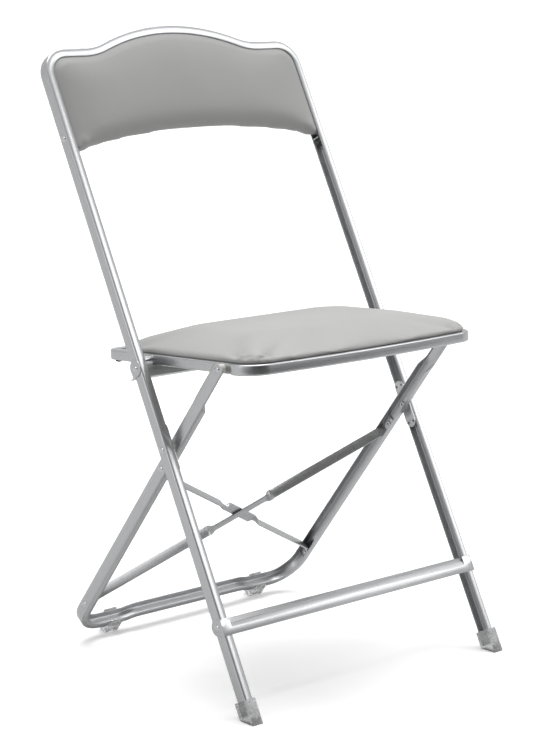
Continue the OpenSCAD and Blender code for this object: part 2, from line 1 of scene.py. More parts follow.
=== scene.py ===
"""A padded steel folding chair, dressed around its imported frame.

The frame gives every place: the three planes that the bent channels lie in are hung on the packed
joints, and each piece made here stands where the CAD node that it replaces stands. Lengths are in
metres, written as millimetres times MM.
"""

from __future__ import annotations

import json
import logging
import math
from dataclasses import dataclass, field
from enum import Enum
from functools import cached_property
from typing import Callable, Sequence

import bmesh
import bpy
from mathutils import Matrix, Vector


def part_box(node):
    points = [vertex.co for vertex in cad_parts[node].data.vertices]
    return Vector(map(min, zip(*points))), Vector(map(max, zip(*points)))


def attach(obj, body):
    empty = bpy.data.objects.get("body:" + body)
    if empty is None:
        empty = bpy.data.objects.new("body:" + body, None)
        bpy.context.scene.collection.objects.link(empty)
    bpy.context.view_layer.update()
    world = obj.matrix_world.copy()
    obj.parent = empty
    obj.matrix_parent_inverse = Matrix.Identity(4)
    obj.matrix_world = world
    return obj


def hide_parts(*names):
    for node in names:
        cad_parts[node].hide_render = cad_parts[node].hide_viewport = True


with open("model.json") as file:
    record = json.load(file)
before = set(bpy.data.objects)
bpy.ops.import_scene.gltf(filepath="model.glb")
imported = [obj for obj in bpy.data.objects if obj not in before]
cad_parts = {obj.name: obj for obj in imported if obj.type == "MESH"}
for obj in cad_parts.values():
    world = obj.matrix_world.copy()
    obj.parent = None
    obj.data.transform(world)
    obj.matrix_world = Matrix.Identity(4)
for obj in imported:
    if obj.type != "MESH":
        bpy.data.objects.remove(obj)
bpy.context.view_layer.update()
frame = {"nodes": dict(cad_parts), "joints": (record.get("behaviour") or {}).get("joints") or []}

MM = 0.001
MERGED = 0.01 * MM  # points nearer than this are one point
FLAT_ANGLE = math.radians(1)  # faces nearer in angle than this are one face
EDGE_ANGLE = math.radians(35)  # corners sharper than this are broken
LOG = logging.getLogger("chair")
Point2 = tuple[float, float]
Point3 = tuple[float, float, float]

# A Mix node's sockets go by number, because their names repeat for every type of data.
FACTOR = 0
NUMBER_A, NUMBER_B, MIXED_NUMBER = 2, 3, 0
COLOUR_A, COLOUR_B, MIXED_COLOUR = 6, 7, 2


# ---- Small helpers -----------------------------------------------------------------------------


def linear(code: str) -> tuple[float, float, float, float]:
    """The linear colour of an sRGB hex code.

    Args:
        code: Six hex digits after a hash, such as "#a0a0a0".

    Returns:
        Red, green, blue and a full alpha.
    """
    channels = [int(code[k : k + 2], 16) / 255 for k in (1, 3, 5)]
    red, green, blue = [
        c / 12.92 if c <= 0.04045 else ((c + 0.055) / 1.055) ** 2.4 for c in channels
    ]
    return (red, green, blue, 1.0)


def set_sockets(
    tree: bpy.types.NodeTree, node: bpy.types.Node, values: dict | None, links: dict | None
) -> None:
    """Sets some of a node's sockets and feeds others from other nodes.

    Args:
        tree: The node's tree.
        node: The node.
        values: Socket names or numbers, and the values they are set to.
        links: Socket names or numbers, and the output sockets that feed them.
    """
    for key, value in (values or {}).items():
        node.inputs[key].default_value = value
    for key, source in (links or {}).items():
        tree.links.new(source, node.inputs[key])


def add_node(
    tree: bpy.types.NodeTree,
    kind: str,
    values: dict | None = None,
    links: dict | None = None,
    **settings: object,
) -> bpy.types.Node:
    """Adds one node to a tree, with its settings, its sockets' values and its incoming links.

    Args:
        tree: The tree that gets the node.
        kind: The node's type name.
        values: Socket names or numbers, and the values they are set to.
        links: Socket names or numbers, and the output sockets that feed them.
        settings: The node's own settings.

    Returns:
        The new node.
    """
    node = tree.nodes.new(kind)
    for name, value in settings.items():
        setattr(node, name, value)
    set_sockets(tree, node, values, links)
    return node


def new_object(name: str, data: bpy.types.ID) -> bpy.types.Object:
    """Links a new object into the scene.

    Args:
        name: The object's name.
        data: Its mesh, lamp or camera.

    Returns:
        The object.
    """
    obj = bpy.data.objects.new(name, data)
    bpy.context.scene.collection.objects.link(obj)
    return obj


def mesh_object(
    name: str, points: Sequence[Sequence[float]], edges: Sequence, faces: Sequence
) -> bpy.types.Object:
    """Makes an object from points, edges and faces.

    Args:
        name: The object's name.
        points: Where its vertices are.
        edges: Pairs of vertex numbers.
        faces: Rings of vertex numbers.

    Returns:
        The object.
    """
    mesh = bpy.data.meshes.new(name)
    mesh.from_pydata([tuple(p) for p in points], edges, faces)
    return new_object(name, mesh)


def line_object(name: str, points: Sequence[Point2], closed: bool) -> bpy.types.Object:
    """Makes an object whose mesh is one line of edges in the XY plane.

    Args:
        name: The object's name.
        points: The line's corners.
        closed: Whether the last point joins the first.

    Returns:
        The object.
    """
    count = len(points)
    edges = [(k, (k + 1) % count) for k in range(count if closed else count - 1)]
    return mesh_object(name, [(x, y, 0.0) for x, y in points], edges, [])


def discard(*objects: bpy.types.Object) -> None:
    """Removes helper objects from the scene."""
    for obj in objects:
        bpy.data.objects.remove(obj)


def made_plain(obj: bpy.types.Object) -> bpy.types.Object:
    """Turns an object with modifiers into an object of the same name with a plain mesh.

    Args:
        obj: The object, which is used up.

    Returns:
        The plain object.
    """
    name = obj.name
    depsgraph = bpy.context.evaluated_depsgraph_get()
    depsgraph.update()
    mesh = bpy.data.meshes.new_from_object(obj.evaluated_get(depsgraph))
    discard(obj)
    plain = new_object(name, mesh)
    mesh.name = name
    return plain


def finish_shell(obj: bpy.types.Object, crease: float = 38.0) -> None:
    """Points a closed mesh's faces outwards and smooths it between its sharp edges.

    Args:
        obj: The object.
        crease: The angle in degrees past which an edge stays sharp.
    """
    shell = bmesh.new()
    shell.from_mesh(obj.data)
    bmesh.ops.recalc_face_normals(shell, faces=shell.faces)
    for face in shell.faces:
        face.smooth = True
    shell.to_mesh(obj.data)
    shell.free()
    obj.data.set_sharp_from_angle(angle=math.radians(crease))


def dress(
    obj: bpy.types.Object, finish: bpy.types.Material, body: str, slot: str, *nodes: str
) -> None:
    """Gives a finished piece its material and its body, and hides the CAD nodes that it stands for.

    Args:
        obj: The piece.
        finish: Its material.
        body: The body that it rides on.
        slot: The record's slot that its finish belongs to; not used.
        nodes: The CAD nodes that it stands for.
    """
    obj.data.materials.clear()
    obj.data.materials.append(finish)
    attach(obj, body)
    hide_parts(*nodes)
    LOG.info("%s: %d faces on %s", obj.name, len(obj.data.polygons), body)


def paint(finish: bpy.types.Material, *nodes: str) -> None:
    """Gives CAD nodes that stay as they are their material.

    Args:
        finish: The material.
        nodes: The CAD nodes.
    """
    for name in nodes:
        node = frame["nodes"][name]
        node.data.materials.clear()
        node.data.materials.append(finish)
        LOG.info("%s: the CAD's own shape", name)


# ---- Finishes ----------------------------------------------------------------------------------


class Grain(Enum):
    """Where a metal's brushing runs."""

    ALONG = "along the piece's own length, which the sweep stores in its grain attribute"
    ACROSS = "across the chair, in the piece's own coordinates"


def surface(name: str) -> tuple[bpy.types.NodeTree, bpy.types.Node, bpy.types.Material]:
    """Starts a material with a Principled surface.

    Args:
        name: The material's name.

    Returns:
        Its node tree, its Principled node and the material.
    """
    material = bpy.data.materials.new(name)
    material.use_nodes = True
    tree = material.node_tree
    return tree, tree.nodes["Principled BSDF"], material


@dataclass(frozen=True)
class SatinSteel:
    """Cold-rolled steel strip, brushed and coated satin silver: soft, slightly streaked gloss."""

    name: str = "satin_silver_steel"
    colour: str = "#cbcccd"
    streak_colour: str = "#bcbdbf"
    roughness: float = 0.30
    roughness_spread: float = 0.10
    streak_width: float = 0.9 * MM  # finer in truth, drawn as coarse as it needs to show
    streak_length: float = 60 * MM
    streak_depth: float = 0.006 * MM
    grain: Grain = Grain.ALONG

    def material(self) -> bpy.types.Material:
        """Builds the material.

        Returns:
            The material.
        """
        tree, shader, material = surface(self.name)
        if self.grain is Grain.ALONG:
            place = add_node(tree, "ShaderNodeAttribute", attribute_name="grain").outputs["Vector"]
        else:
            place = add_node(tree, "ShaderNodeTexCoord").outputs["Object"]
        along, across = 1 / self.streak_length, 1 / self.streak_width
        stretched = add_node(
            tree, "ShaderNodeMapping", {"Scale": (along, across, across)}, {"Vector": place}
        )
        streaks = add_node(
            tree,
            "ShaderNodeTexNoise",
            {"Scale": 1.0, "Detail": 4.0, "Roughness": 0.6},
            {"Vector": stretched.outputs["Vector"]},
        ).outputs["Fac"]
        tint = add_node(
            tree,
            "ShaderNodeMix",
            {COLOUR_A: linear(self.streak_colour), COLOUR_B: linear(self.colour)},
            {FACTOR: streaks},
            data_type="RGBA",
        )
        half = self.roughness_spread / 2
        limits = {"To Min": self.roughness - half, "To Max": self.roughness + half}
        rough = add_node(
            tree,
            "ShaderNodeMapRange",
            {"From Min": 0.3, "From Max": 0.7, **limits},
            {"Value": streaks},
        )
        bump = add_node(
            tree,
            "ShaderNodeBump",
            {"Strength": 0.35, "Distance": self.streak_depth},
            {"Height": streaks},
        )
        links = {"Base Color": tint.outputs[MIXED_COLOUR], "Roughness": rough.outputs["Result"]}
        links["Normal"] = bump.outputs["Normal"]
        set_sockets(tree, shader, {"Metallic": 1.0}, links)
        return material


@dataclass(frozen=True)
class PlatedSteel:
    """Zinc-plated rivet steel: brighter than the frame, with a faint mottle from the bath."""

    name: str = "zinc_plated_steel"
    colour: str = "#dcdddf"
    dull_colour: str = "#b9bbbf"
    roughness: float = 0.16
    mottle: float = 2.5 * MM

    def material(self) -> bpy.types.Material:
        """Builds the material.

        Returns:
            The material.
        """
        tree, shader, material = surface(self.name)
        place = add_node(tree, "ShaderNodeTexCoord").outputs["Object"]
        clouds = add_node(
            tree, "ShaderNodeTexNoise", {"Scale": 1 / self.mottle, "Detail": 3.0}, {"Vector": place}
        ).outputs["Fac"]
        tint = add_node(
            tree,
            "ShaderNodeMix",
            {COLOUR_A: linear(self.dull_colour), COLOUR_B: linear(self.colour)},
            {FACTOR: clouds},
            data_type="RGBA",
        )
        rough = add_node(
            tree,
            "ShaderNodeMapRange",
            {"To Min": self.roughness + 0.12, "To Max": self.roughness - 0.04},
            {"Value": clouds},
        )
        links = {"Base Color": tint.outputs[MIXED_COLOUR], "Roughness": rough.outputs["Result"]}
        set_sockets(tree, shader, {"Metallic": 1.0}, links)
        return material


@dataclass(frozen=True)
class Vinyl:
    """Upholstery vinyl, calendered with a fine pebble grain: soft sheen over tiny dimples."""

    name: str = "grey_vinyl"
    colour: str = "#aeaead"
    shade: str = "#a6a6a5"
    roughness: float = 0.46
    pebble: float = 1.5 * MM  # the grain is nearer 0.8 mm, drawn as coarse as it needs to show
    pebble_depth: float = 0.08 * MM
    drift: float = 90 * MM

    def material(self) -> bpy.types.Material:
        """Builds the material.

        Returns:
            The material.
        """
        tree, shader, material = surface(self.name)
        place = {"Vector": add_node(tree, "ShaderNodeTexCoord").outputs["Object"]}
        cells = add_node(
            tree,
            "ShaderNodeTexVoronoi",
            {"Scale": 1 / self.pebble, "Randomness": 0.95},
            place,
            feature="SMOOTH_F1",
        )
        fine = add_node(
            tree, "ShaderNodeTexNoise", {"Scale": 2.5 / self.pebble, "Detail": 4.0}, place
        )
        height = add_node(
            tree,
            "ShaderNodeMath",
            {2: 0.4},
            {0: fine.outputs["Fac"], 1: cells.outputs["Distance"]},
            operation="MULTIPLY_ADD",
        ).outputs["Value"]
        broad = add_node(
            tree, "ShaderNodeTexNoise", {"Scale": 1 / self.drift, "Detail": 2.0}, place
        )
        tint = add_node(
            tree,
            "ShaderNodeMix",
            {COLOUR_A: linear(self.shade), COLOUR_B: linear(self.colour)},
            {FACTOR: broad.outputs["Fac"]},
            data_type="RGBA",
        )
        rough = add_node(
            tree,
            "ShaderNodeMapRange",
            {"To Min": self.roughness - 0.05, "To Max": self.roughness + 0.09},
            {"Value": height},
        )
        bump = add_node(
            tree,
            "ShaderNodeBump",
            {"Strength": 0.5, "Distance": self.pebble_depth},
            {"Height": height},
        )
        values = {"IOR": 1.48, "Sheen Weight": 0.08, "Sheen Roughness": 0.5}
        links = {"Base Color": tint.outputs[MIXED_COLOUR], "Roughness": rough.outputs["Result"]}
        links["Normal"] = bump.outputs["Normal"]
        set_sockets(tree, shader, values, links)
        return material


@dataclass(frozen=True)
class Moulded:
    """A moulded plastic or rubber: one colour and a fine texture that breaks up its gloss."""

    name: str
    colour: str
    rough_low: float
    rough_high: float
    texture: float = 0.5 * MM
    texture_depth: float = 0.03 * MM
    detail: float = 2.0
    strength: float = 0.4
    clear: bool = False

    def material(self) -> bpy.types.Material:
        """Builds the material.

        Returns:
            The material.
        """
        tree, shader, material = surface(self.name)
        place = add_node(tree, "ShaderNodeTexCoord").outputs["Object"]
        specks = add_node(
            tree,
            "ShaderNodeTexNoise",
            {"Scale": 1 / self.texture, "Detail": self.detail},
            {"Vector": place},
        ).outputs["Fac"]
        rough = add_node(
            tree,
            "ShaderNodeMapRange",
            {"To Min": self.rough_low, "To Max": self.rough_high},
            {"Value": specks},
        )
        bump = add_node(
            tree,
            "ShaderNodeBump",
            {"Strength": self.strength, "Distance": self.texture_depth},
            {"Height": specks},
        )
        values = {"Base Color": linear(self.colour)}
        if self.clear:
            values |= {"IOR": 1.5, "Transmission Weight": 0.7}
        links = {"Roughness": rough.outputs["Result"], "Normal": bump.outputs["Normal"]}
        set_sockets(tree, shader, values, links)
        return material


@dataclass(frozen=True)
class PrimedBoard:
    """Plywood sealed with grey primer: matt, with the veneer's long grain showing through."""

    name: str = "grey_primed_plywood"
    colour: str = "#a9a9a6"
    grain_colour: str = "#8f8f8b"
    line_width: float = 3 * MM
    line_length: float = 120 * MM

    def material(self) -> bpy.types.Material:
        """Builds the material.

        Returns:
            The material.
        """
        tree, shader, material = surface(self.name)
        place = add_node(tree, "ShaderNodeTexCoord").outputs["Object"]
        along, across = 1 / self.line_length, 1 / self.line_width
        stretched = add_node(
            tree, "ShaderNodeMapping", {"Scale": (along, across, across)}, {"Vector": place}
        )
        lines = add_node(
            tree,
            "ShaderNodeTexNoise",
            {"Scale": 1.0, "Detail": 5.0, "Distortion": 0.6},
            {"Vector": stretched.outputs["Vector"]},
        ).outputs["Fac"]
        tint = add_node(
            tree,
            "ShaderNodeMix",
            {COLOUR_A: linear(self.grain_colour), COLOUR_B: linear(self.colour)},
            {FACTOR: lines},
            data_type="RGBA",
        )
        bump = add_node(
            tree, "ShaderNodeBump", {"Strength": 0.3, "Distance": 0.1 * MM}, {"Height": lines}
        )
        links = {"Base Color": tint.outputs[MIXED_COLOUR], "Normal": bump.outputs["Normal"]}
        set_sockets(tree, shader, {"Roughness": 0.7}, links)
        return material


@dataclass(frozen=True)
class Finishes:
    """Every finish on the chair, each built once."""

    steel: bpy.types.Material = field(default_factory=lambda: SatinSteel().material())
    sheet_steel: bpy.types.Material = field(
        default_factory=lambda: SatinSteel(name="satin_silver_sheet", grain=Grain.ACROSS).material()
    )
    plated: bpy.types.Material = field(default_factory=lambda: PlatedSteel().material())
    vinyl: bpy.types.Material = field(default_factory=lambda: Vinyl().material())
    clear: bpy.types.Material = field(
        default_factory=lambda: Moulded(
            "clear_moulded_plastic",
            "#fbfcfc",
            rough_low=0.18,
            rough_high=0.34,
            texture=6 * MM,
            texture_depth=0.05 * MM,
            detail=3.0,
            strength=0.3,
            clear=True,
        ).material()
    )
    nylon: bpy.types.Material = field(
        default_factory=lambda: Moulded("natural_nylon", "#dcdbd6", 0.39, 0.51).material()
    )
    rubber: bpy.types.Material = field(
        default_factory=lambda: Moulded("moulded_rubber", "#2b2b2b", 0.54, 0.66).material()
    )
    board: bpy.types.Material = field(default_factory=lambda: PrimedBoard().material())


# ---- The chair's planes ------------------------------------------------------------------------


def tilted(origin: Sequence[float], degrees: float) -> Matrix:
    """A plane at a point, turned about the X axis."""
    return Matrix.Translation(Vector(origin)) @ Matrix.Rotation(math.radians(degrees), 4, "X")


@dataclass(frozen=True)
class ChairPlanes:
    """The planes that the bent channels lie in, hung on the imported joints.

    In the front plane, Y runs up the legs from the floor and Z = 0 is the front flanges' face. In
    the rear plane, the origin is the crossing pivot and Y runs up to the seat hinge. In the seat
    plane, the origin is the seat hinge and Y runs to the rear.
    """

    front_lean: float = 28.0
    rear_lean: float = 38.0
    crossing_reach: float = 370 * MM
    link_length: float = 149 * MM
    channel_depth: float = 18 * MM

    @property
    def crossing(self) -> Vector:
        """The pivot where the rear frame crosses the front one."""
        return Vector(frame["joints"][0]["pos_m"])

    @property
    def front(self) -> Matrix:
        """The front frame's plane.

        Returns:
            The plane, as a matrix.
        """
        turn = tilted((0, 0, 0), 90 - self.front_lean)
        step = turn @ Vector((0, self.crossing_reach, -self.channel_depth / 2))
        return tilted(self.crossing - step, 90 - self.front_lean)

    @property
    def rear(self) -> Matrix:
        """The rear frame's plane."""
        return tilted(self.crossing, 90 + self.rear_lean)

    @property
    def seat(self) -> Matrix:
        """The seat's plane."""
        tilt = 90 - 2 * self.front_lean - self.rear_lean
        return tilted(Vector(frame["joints"][1]["pos_m"]), tilt)


# ---- Bent channels -----------------------------------------------------------------------------


@dataclass
class BentPath:
    """A line bent in a plane, which starts along +Y and is drawn step by step."""

    point: Point2
    heading: float = 90.0
    arc_step: float = 3.0
    points: list[Point2] = field(default_factory=list)

    def __post_init__(self) -> None:
        """Starts the line at its first point."""
        self.points.append(self.point)

    def go(self, length: float, steps: int = 1) -> BentPath:
        """Draws a straight run.

        Args:
            length: The run's length.
            steps: The number of pieces that it is cut into.

        Returns:
            The path.
        """
        angle = math.radians(self.heading)
        x, y = self.point
        for k in range(1, steps + 1):
            share = length * k / steps
            self.points.append((x + share * math.cos(angle), y + share * math.sin(angle)))
        self.point = self.points[-1]
        return self

    def turn(self, radius: float, angle: float) -> BentPath:
        """Draws an arc.

        Args:
            radius: The arc's radius.
            angle: Its angle in degrees, to the right when positive and to the left when negative.

        Returns:
            The path.
        """
        side = -1 if angle > 0 else 1
        start = math.radians(self.heading)
        centre_x = self.point[0] - side * radius * math.sin(start)
        centre_y = self.point[1] + side * radius * math.cos(start)
        count = max(4, math.ceil(abs(angle) / self.arc_step))
        for k in range(1, count + 1):
            now = math.radians(self.heading - angle * k / count)
            self.points.append(
                (centre_x + side * radius * math.sin(now), centre_y - side * radius * math.cos(now))
            )
        self.heading -= angle
        self.point = self.points[-1]
        return self


@dataclass(frozen=True)
class ChannelSection:
    """The rolled U section: a web and two flanges, with round bends and rounded lips."""

    depth: float
    flange: float = 12 * MM
    wall: float = 1.2 * MM
    bend: float = 2.6 * MM
    bend_steps: int = 5
    lip_share: float = 0.25

    def outline(self) -> list[Point2]:
        """Draws the closed outline.

        Returns:
            Its points. X runs from the web to the lips, and Y through the depth.
        """
        lip = self.wall * self.lip_share
        return [
            (self.flange - lip, 0.0),
            *self._bends(self.bend, 0.0),
            (self.flange - lip, self.depth),
            (self.flange, self.depth - lip),
            (self.flange, self.depth - self.wall + lip),
            (self.flange - lip, self.depth - self.wall),
            *reversed(self._bends(self.bend - self.wall, self.wall)),
            (self.flange - lip, self.wall),
            (self.flange, self.wall - lip),
            (self.flange, lip),
        ]

    def _bends(self, radius: float, inset: float) -> list[Point2]:
        """Draws the two bends on one face of the sheet.

        Args:
            radius: The bends' radius on that face.
            inset: How far the face lies inside the outer one.

        Returns:
            The points, from the front flange to the rear one.
        """
        points = []
        for middle_y, first in ((inset + radius, 270.0), (self.depth - inset - radius, 180.0)):
            for k in range(self.bend_steps + 1):
                angle = math.radians(first - 90 * k / self.bend_steps)
                x = inset + radius + radius * math.cos(angle)
                points.append((x, middle_y + radius * math.sin(angle)))
        return points


class PieceTree:
    """A Geometry Nodes tree that makes a piece from a mesh, a helper object and a finish."""

    def __init__(self, name: str, helper: str, *flags: str) -> None:
        """Starts the tree with its inputs and its output.

        Args:
            name: The tree's name.
            helper: The name of the input that takes the helper object.
            flags: The names of the inputs that are true or false.
        """
        self.tree = bpy.data.node_groups.new(name, "GeometryNodeTree")
        self.helper = helper
        face = self.tree.interface
        kinds = {"Geometry": "Geometry", helper: "Object", "Finish": "Material"}
        for label, kind in (kinds | dict.fromkeys(flags, "Bool")).items():
            face.new_socket(label, in_out="INPUT", socket_type="NodeSocket" + kind)
        face.new_socket("Geometry", in_out="OUTPUT", socket_type="NodeSocketGeometry")
        self.inlet = add_node(self.tree, "NodeGroupInput")
        links = {"Object": self.inlet.outputs[helper]}
        self.shape = add_node(self.tree, "GeometryNodeObjectInfo", links=links)

    def close(self, geometry: bpy.types.NodeSocket) -> None:
        """Makes the result real, gives it the finish and sends it out.

        Args:
            geometry: The result's socket.
        """
        real = add_node(self.tree, "GeometryNodeRealizeInstances", links={"Geometry": geometry})
        finish = add_node(
            self.tree,
            "GeometryNodeSetMaterial",
            links={"Geometry": real.outputs["Geometry"], "Material": self.inlet.outputs["Finish"]},
        )
        add_node(self.tree, "NodeGroupOutput", links={"Geometry": finish.outputs["Geometry"]})

    def run(
        self, obj: bpy.types.Object, helper: bpy.types.Object, inputs: dict[str, object]
    ) -> bpy.types.Object:
        """Puts an object through the tree.

        Args:
            obj: The object, which is used up.
            helper: The helper object, which is used up.
            inputs: The tree's other inputs.

        Returns:
            The piece, as a plain mesh.
        """
        modifier = obj.modifiers.new(self.tree.name, "NODES")
        modifier.node_group = self.tree
        values = {self.helper: helper, **inputs}
        for item in self.tree.interface.items_tree:
            if item.in_out == "INPUT" and item.name in values:
                modifier[item.identifier] = values[item.name]
        piece = made_plain(obj)
        discard(helper)
        return piece


class ChannelSweep(PieceTree):
    """A tree that sweeps a section along a line and stores the steel's grain."""

    def __init__(self) -> None:
        """Builds the tree."""
        super().__init__("channel_sweep", "Section", "Close ends")
        path, along = self._measured(self.inlet.outputs["Geometry"], "along")
        section, around = self._measured(self.shape.outputs["Geometry"], "around")
        upright = add_node(
            self.tree, "GeometryNodeSetCurveNormal", links={"Curve": path}, mode="Z_UP"
        )
        lines = {"Curve": upright.outputs["Curve"], "Profile Curve": section}
        lines["Fill Caps"] = self.inlet.outputs["Close ends"]
        sweep = add_node(self.tree, "GeometryNodeCurveToMesh", links=lines)
        grain = add_node(self.tree, "ShaderNodeCombineXYZ", links={"X": along, "Y": around})
        stored = add_node(
            self.tree,
            "GeometryNodeStoreNamedAttribute",
            {"Name": "grain"},
            {"Geometry": sweep.outputs["Mesh"], "Value": grain.outputs["Vector"]},
            data_type="FLOAT_VECTOR",
            domain="POINT",
        )
        self.close(stored.outputs["Geometry"])

    def _measured(
        self, line: bpy.types.NodeSocket, name: str
    ) -> tuple[bpy.types.NodeSocket, bpy.types.NodeSocket]:
        """Turns a mesh line into a curve and captures the length along it.

        Args:
            line: The mesh line's socket.
            name: The captured length's name.

        Returns:
            The curve's socket and the length's socket.
        """
        curve = add_node(self.tree, "GeometryNodeMeshToCurve", links={"Mesh": line})
        measure = add_node(self.tree, "GeometryNodeSplineParameter")
        captured = add_node(self.tree, "GeometryNodeCaptureAttribute", domain="POINT")
        captured.capture_items.new("FLOAT", name)
        links = {"Geometry": curve.outputs["Curve"], name: measure.outputs["Length"]}
        set_sockets(self.tree, captured, None, links)
        return captured.outputs["Geometry"], captured.outputs[name]

    def make(
        self,
        name: str,
        path: Sequence[Point2],
        section: ChannelSection,
        finish: bpy.types.Material,
        closed: bool = False,
    ) -> bpy.types.Object:
        """Sweeps a section along a path.

        Args:
            name: The new piece's name.
            path: The web's outer line, with the flanges to its right.
            section: The channel's section.
            finish: The steel's material.
            closed: Whether the path is a loop.

        Returns:
            The piece, as a plain mesh in the path's own plane.
        """
        line = line_object(name, path, closed)
        outline = line_object(name + "_section", section.outline(), closed=True)
        return self.run(line, outline, {"Close ends": not closed, "Finish": finish})


# ---- Sheet pieces ------------------------------------------------------------------------------


def soften(
    node: str,
    name: str,
    edge: float,
    finish: bpy.types.Material,
    body: str,
    slot: str,
    steps: int = 2,
) -> None:
    """Copies a CAD node's mesh with its sharp edges broken, as a press leaves them, and dresses it.

    Args:
        node: The CAD node.
        name: The new piece's name.
        edge: The width of the broken edges.
        finish: The piece's material.
        body: The body that it rides on.
        slot: The record's slot that its finish belongs to.
        steps: The number of segments across each edge.
    """
    obj = new_object(name, frame["nodes"][node].data.copy())
    packed_normals = obj.data.attributes.get("custom_normal")
    if packed_normals:
        obj.data.attributes.remove(packed_normals)
    shell = bmesh.new()
    shell.from_mesh(obj.data)
    bmesh.ops.remove_doubles(shell, verts=shell.verts, dist=MERGED)
    bmesh.ops.dissolve_limit(shell, angle_limit=FLAT_ANGLE, verts=shell.verts, edges=shell.edges)
    shell.to_mesh(obj.data)
    shell.free()
    bevel = obj.modifiers.new("edges", "BEVEL")
    bevel.width = edge
    bevel.segments = steps
    bevel.limit_method = "ANGLE"
    bevel.angle_limit = EDGE_ANGLE
    bevel.use_clamp_overlap = True
    piece = made_plain(obj)
    finish_shell(piece)
    dress(piece, finish, body, slot, node)


# ---- Rivets ------------------------------------------------------------------------------------


@dataclass(frozen=True)
class Rivet:
    """A semi-tubular rivet along -X: a domed head outside X = 0 and a rolled tail at its end."""

    grip: float
    head: float = 5.5 * MM
    head_rise: float = 2.2 * MM
    shank: float = 3 * MM
    tail: float = 4.6 * MM
    tail_rise: float = 1.4 * MM
    tail_edge: float = 0.3 * MM
    roll_rise: float = 0.6 * MM
    bore: float = 1.7 * MM
    bore_taper: float = 0.2 * MM
    bore_depth: float = 2.2 * MM
    bore_tip: float = 0.4 * MM
    head_steps: int = 8
    roll_steps: int = 6
    steps: int = 28

    def profile(self) -> list[Point2]:
        """Draws the half section.

        Returns:
            Points of X and radius, from the head's pole to the tail's bore.
        """
        ball = (self.head**2 + self.head_rise**2) / (2 * self.head_rise)
        points = []
        for k in range(self.head_steps + 1):
            radius = self.head * math.sin(math.radians(90 * k / self.head_steps))
            points.append((math.sqrt(ball**2 - radius**2) - ball + self.head_rise, radius))
        points += [(0.0, self.shank), (-self.grip, self.shank)]
        points.append((-self.grip, self.tail - self.tail_edge))
        points.append((-self.grip - self.tail_edge, self.tail))
        end = -self.grip - self.tail_rise
        middle, half = (self.tail + self.bore) / 2, (self.tail - self.bore) / 2
        for k in range(1, self.roll_steps + 1):
            angle = math.radians(180 * k / self.roll_steps)
            x = end + self.roll_rise - self.roll_rise * math.sin(angle)
            points.append((x, middle + half * math.cos(angle)))
        points.append((end + self.bore_depth, self.bore - self.bore_taper))
        points.append((end + self.bore_depth + self.bore_tip, 0.0))
        return points

    def mesh(self, name: str) -> bpy.types.Object:
        """Turns the half section into a closed solid of revolution.

        Args:
            name: The object's name.

        Returns:
            The solid.
        """
        profile = self.profile()
        inner = profile[1:-1]
        points: list[Point3] = [(profile[0][0], 0.0, 0.0)]
        for x, radius in inner:
            for k in range(self.steps):
                angle = 2 * math.pi * k / self.steps
                points.append((x, radius * math.cos(angle), radius * math.sin(angle)))
        points.append((profile[-1][0], 0.0, 0.0))
        faces = []
        for k in range(self.steps):
            after = (k + 1) % self.steps
            faces.append((0, 1 + k, 1 + after))
            for ring in range(len(inner) - 1):
                a, b = 1 + ring * self.steps, 1 + (ring + 1) * self.steps
                faces.append((a + k, b + k, b + after, a + after))
            a = 1 + (len(inner) - 1) * self.steps
            faces.append((a + k, len(points) - 1, a + after))
        obj = mesh_object(name, points, [], faces)
        finish_shell(obj, crease=30)
        return obj


class RivetRow(PieceTree):
    """A tree that sets one rivet at each point of a mesh, turned as the point says."""

    def __init__(self) -> None:
        """Builds the tree."""
        super().__init__("rivet_row", "Rivet")
        turn = add_node(
            self.tree,
            "GeometryNodeInputNamedAttribute",
            {"Name": "turn"},
            data_type="FLOAT_VECTOR",
        )
        links = {"Points": self.inlet.outputs["Geometry"], "Rotation": turn.outputs["Attribute"]}
        links["Instance"] = self.shape.outputs["Geometry"]
        row = add_node(self.tree, "GeometryNodeInstanceOnPoints", links=links)
        self.close(row.outputs["Instances"])

    def make(
        self,
        name: str,
        rivet: Rivet,
        places: Sequence[Point3],
        plane: Matrix,
        finish: bpy.types.Material,
    ) -> bpy.types.Object:
        """Sets a rivet at each place and at its mirror image.

        Args:
            name: The new piece's name.
            rivet: The rivet.
            places: Where the heads sit on the +X side, in the plane.
            plane: The plane.
            finish: The rivets' material.

        Returns:
            The rivets, as one plain mesh in place.
        """
        both = [(side * x, y, z) for x, y, z in places for side in (1, -1)]
        points = mesh_object(name, both, [], [])
        turns = points.data.attributes.new("turn", "FLOAT_VECTOR", "POINT")
        for k, place in enumerate(both):
            turns.data[k].vector = (0.0, 0.0, 0.0 if place[0] > 0 else math.pi)
        row = self.run(points, rivet.mesh(name + "_one"), {"Finish": finish})
        row.data.transform(plane)
        return row


# ---- Padding -----------------------------------------------------------------------------------


def arc(centre: Point2, radius: float, first: float, last: float, count: int) -> list[Point2]:
    """Points on an arc about a centre, both ends included, with angles in degrees."""
    turns = [math.radians(first + (last - first) * k / count) for k in range(count + 1)]
    return [(centre[0] + radius * math.cos(t), centre[1] + radius * math.sin(t)) for t in turns]


def mirrored(right: list[Point2]) -> list[Point2]:
    """The mirror image of a half outline, backwards, without its first point."""
    return [(-x, y) for x, y in reversed(right[1:])]


@dataclass(frozen=True)
class Ring:
    """One level of a pad's starting shape: its outline's inset, its height and its edge's lift."""

    inset: float
    height: float
    lift: float = 0.0


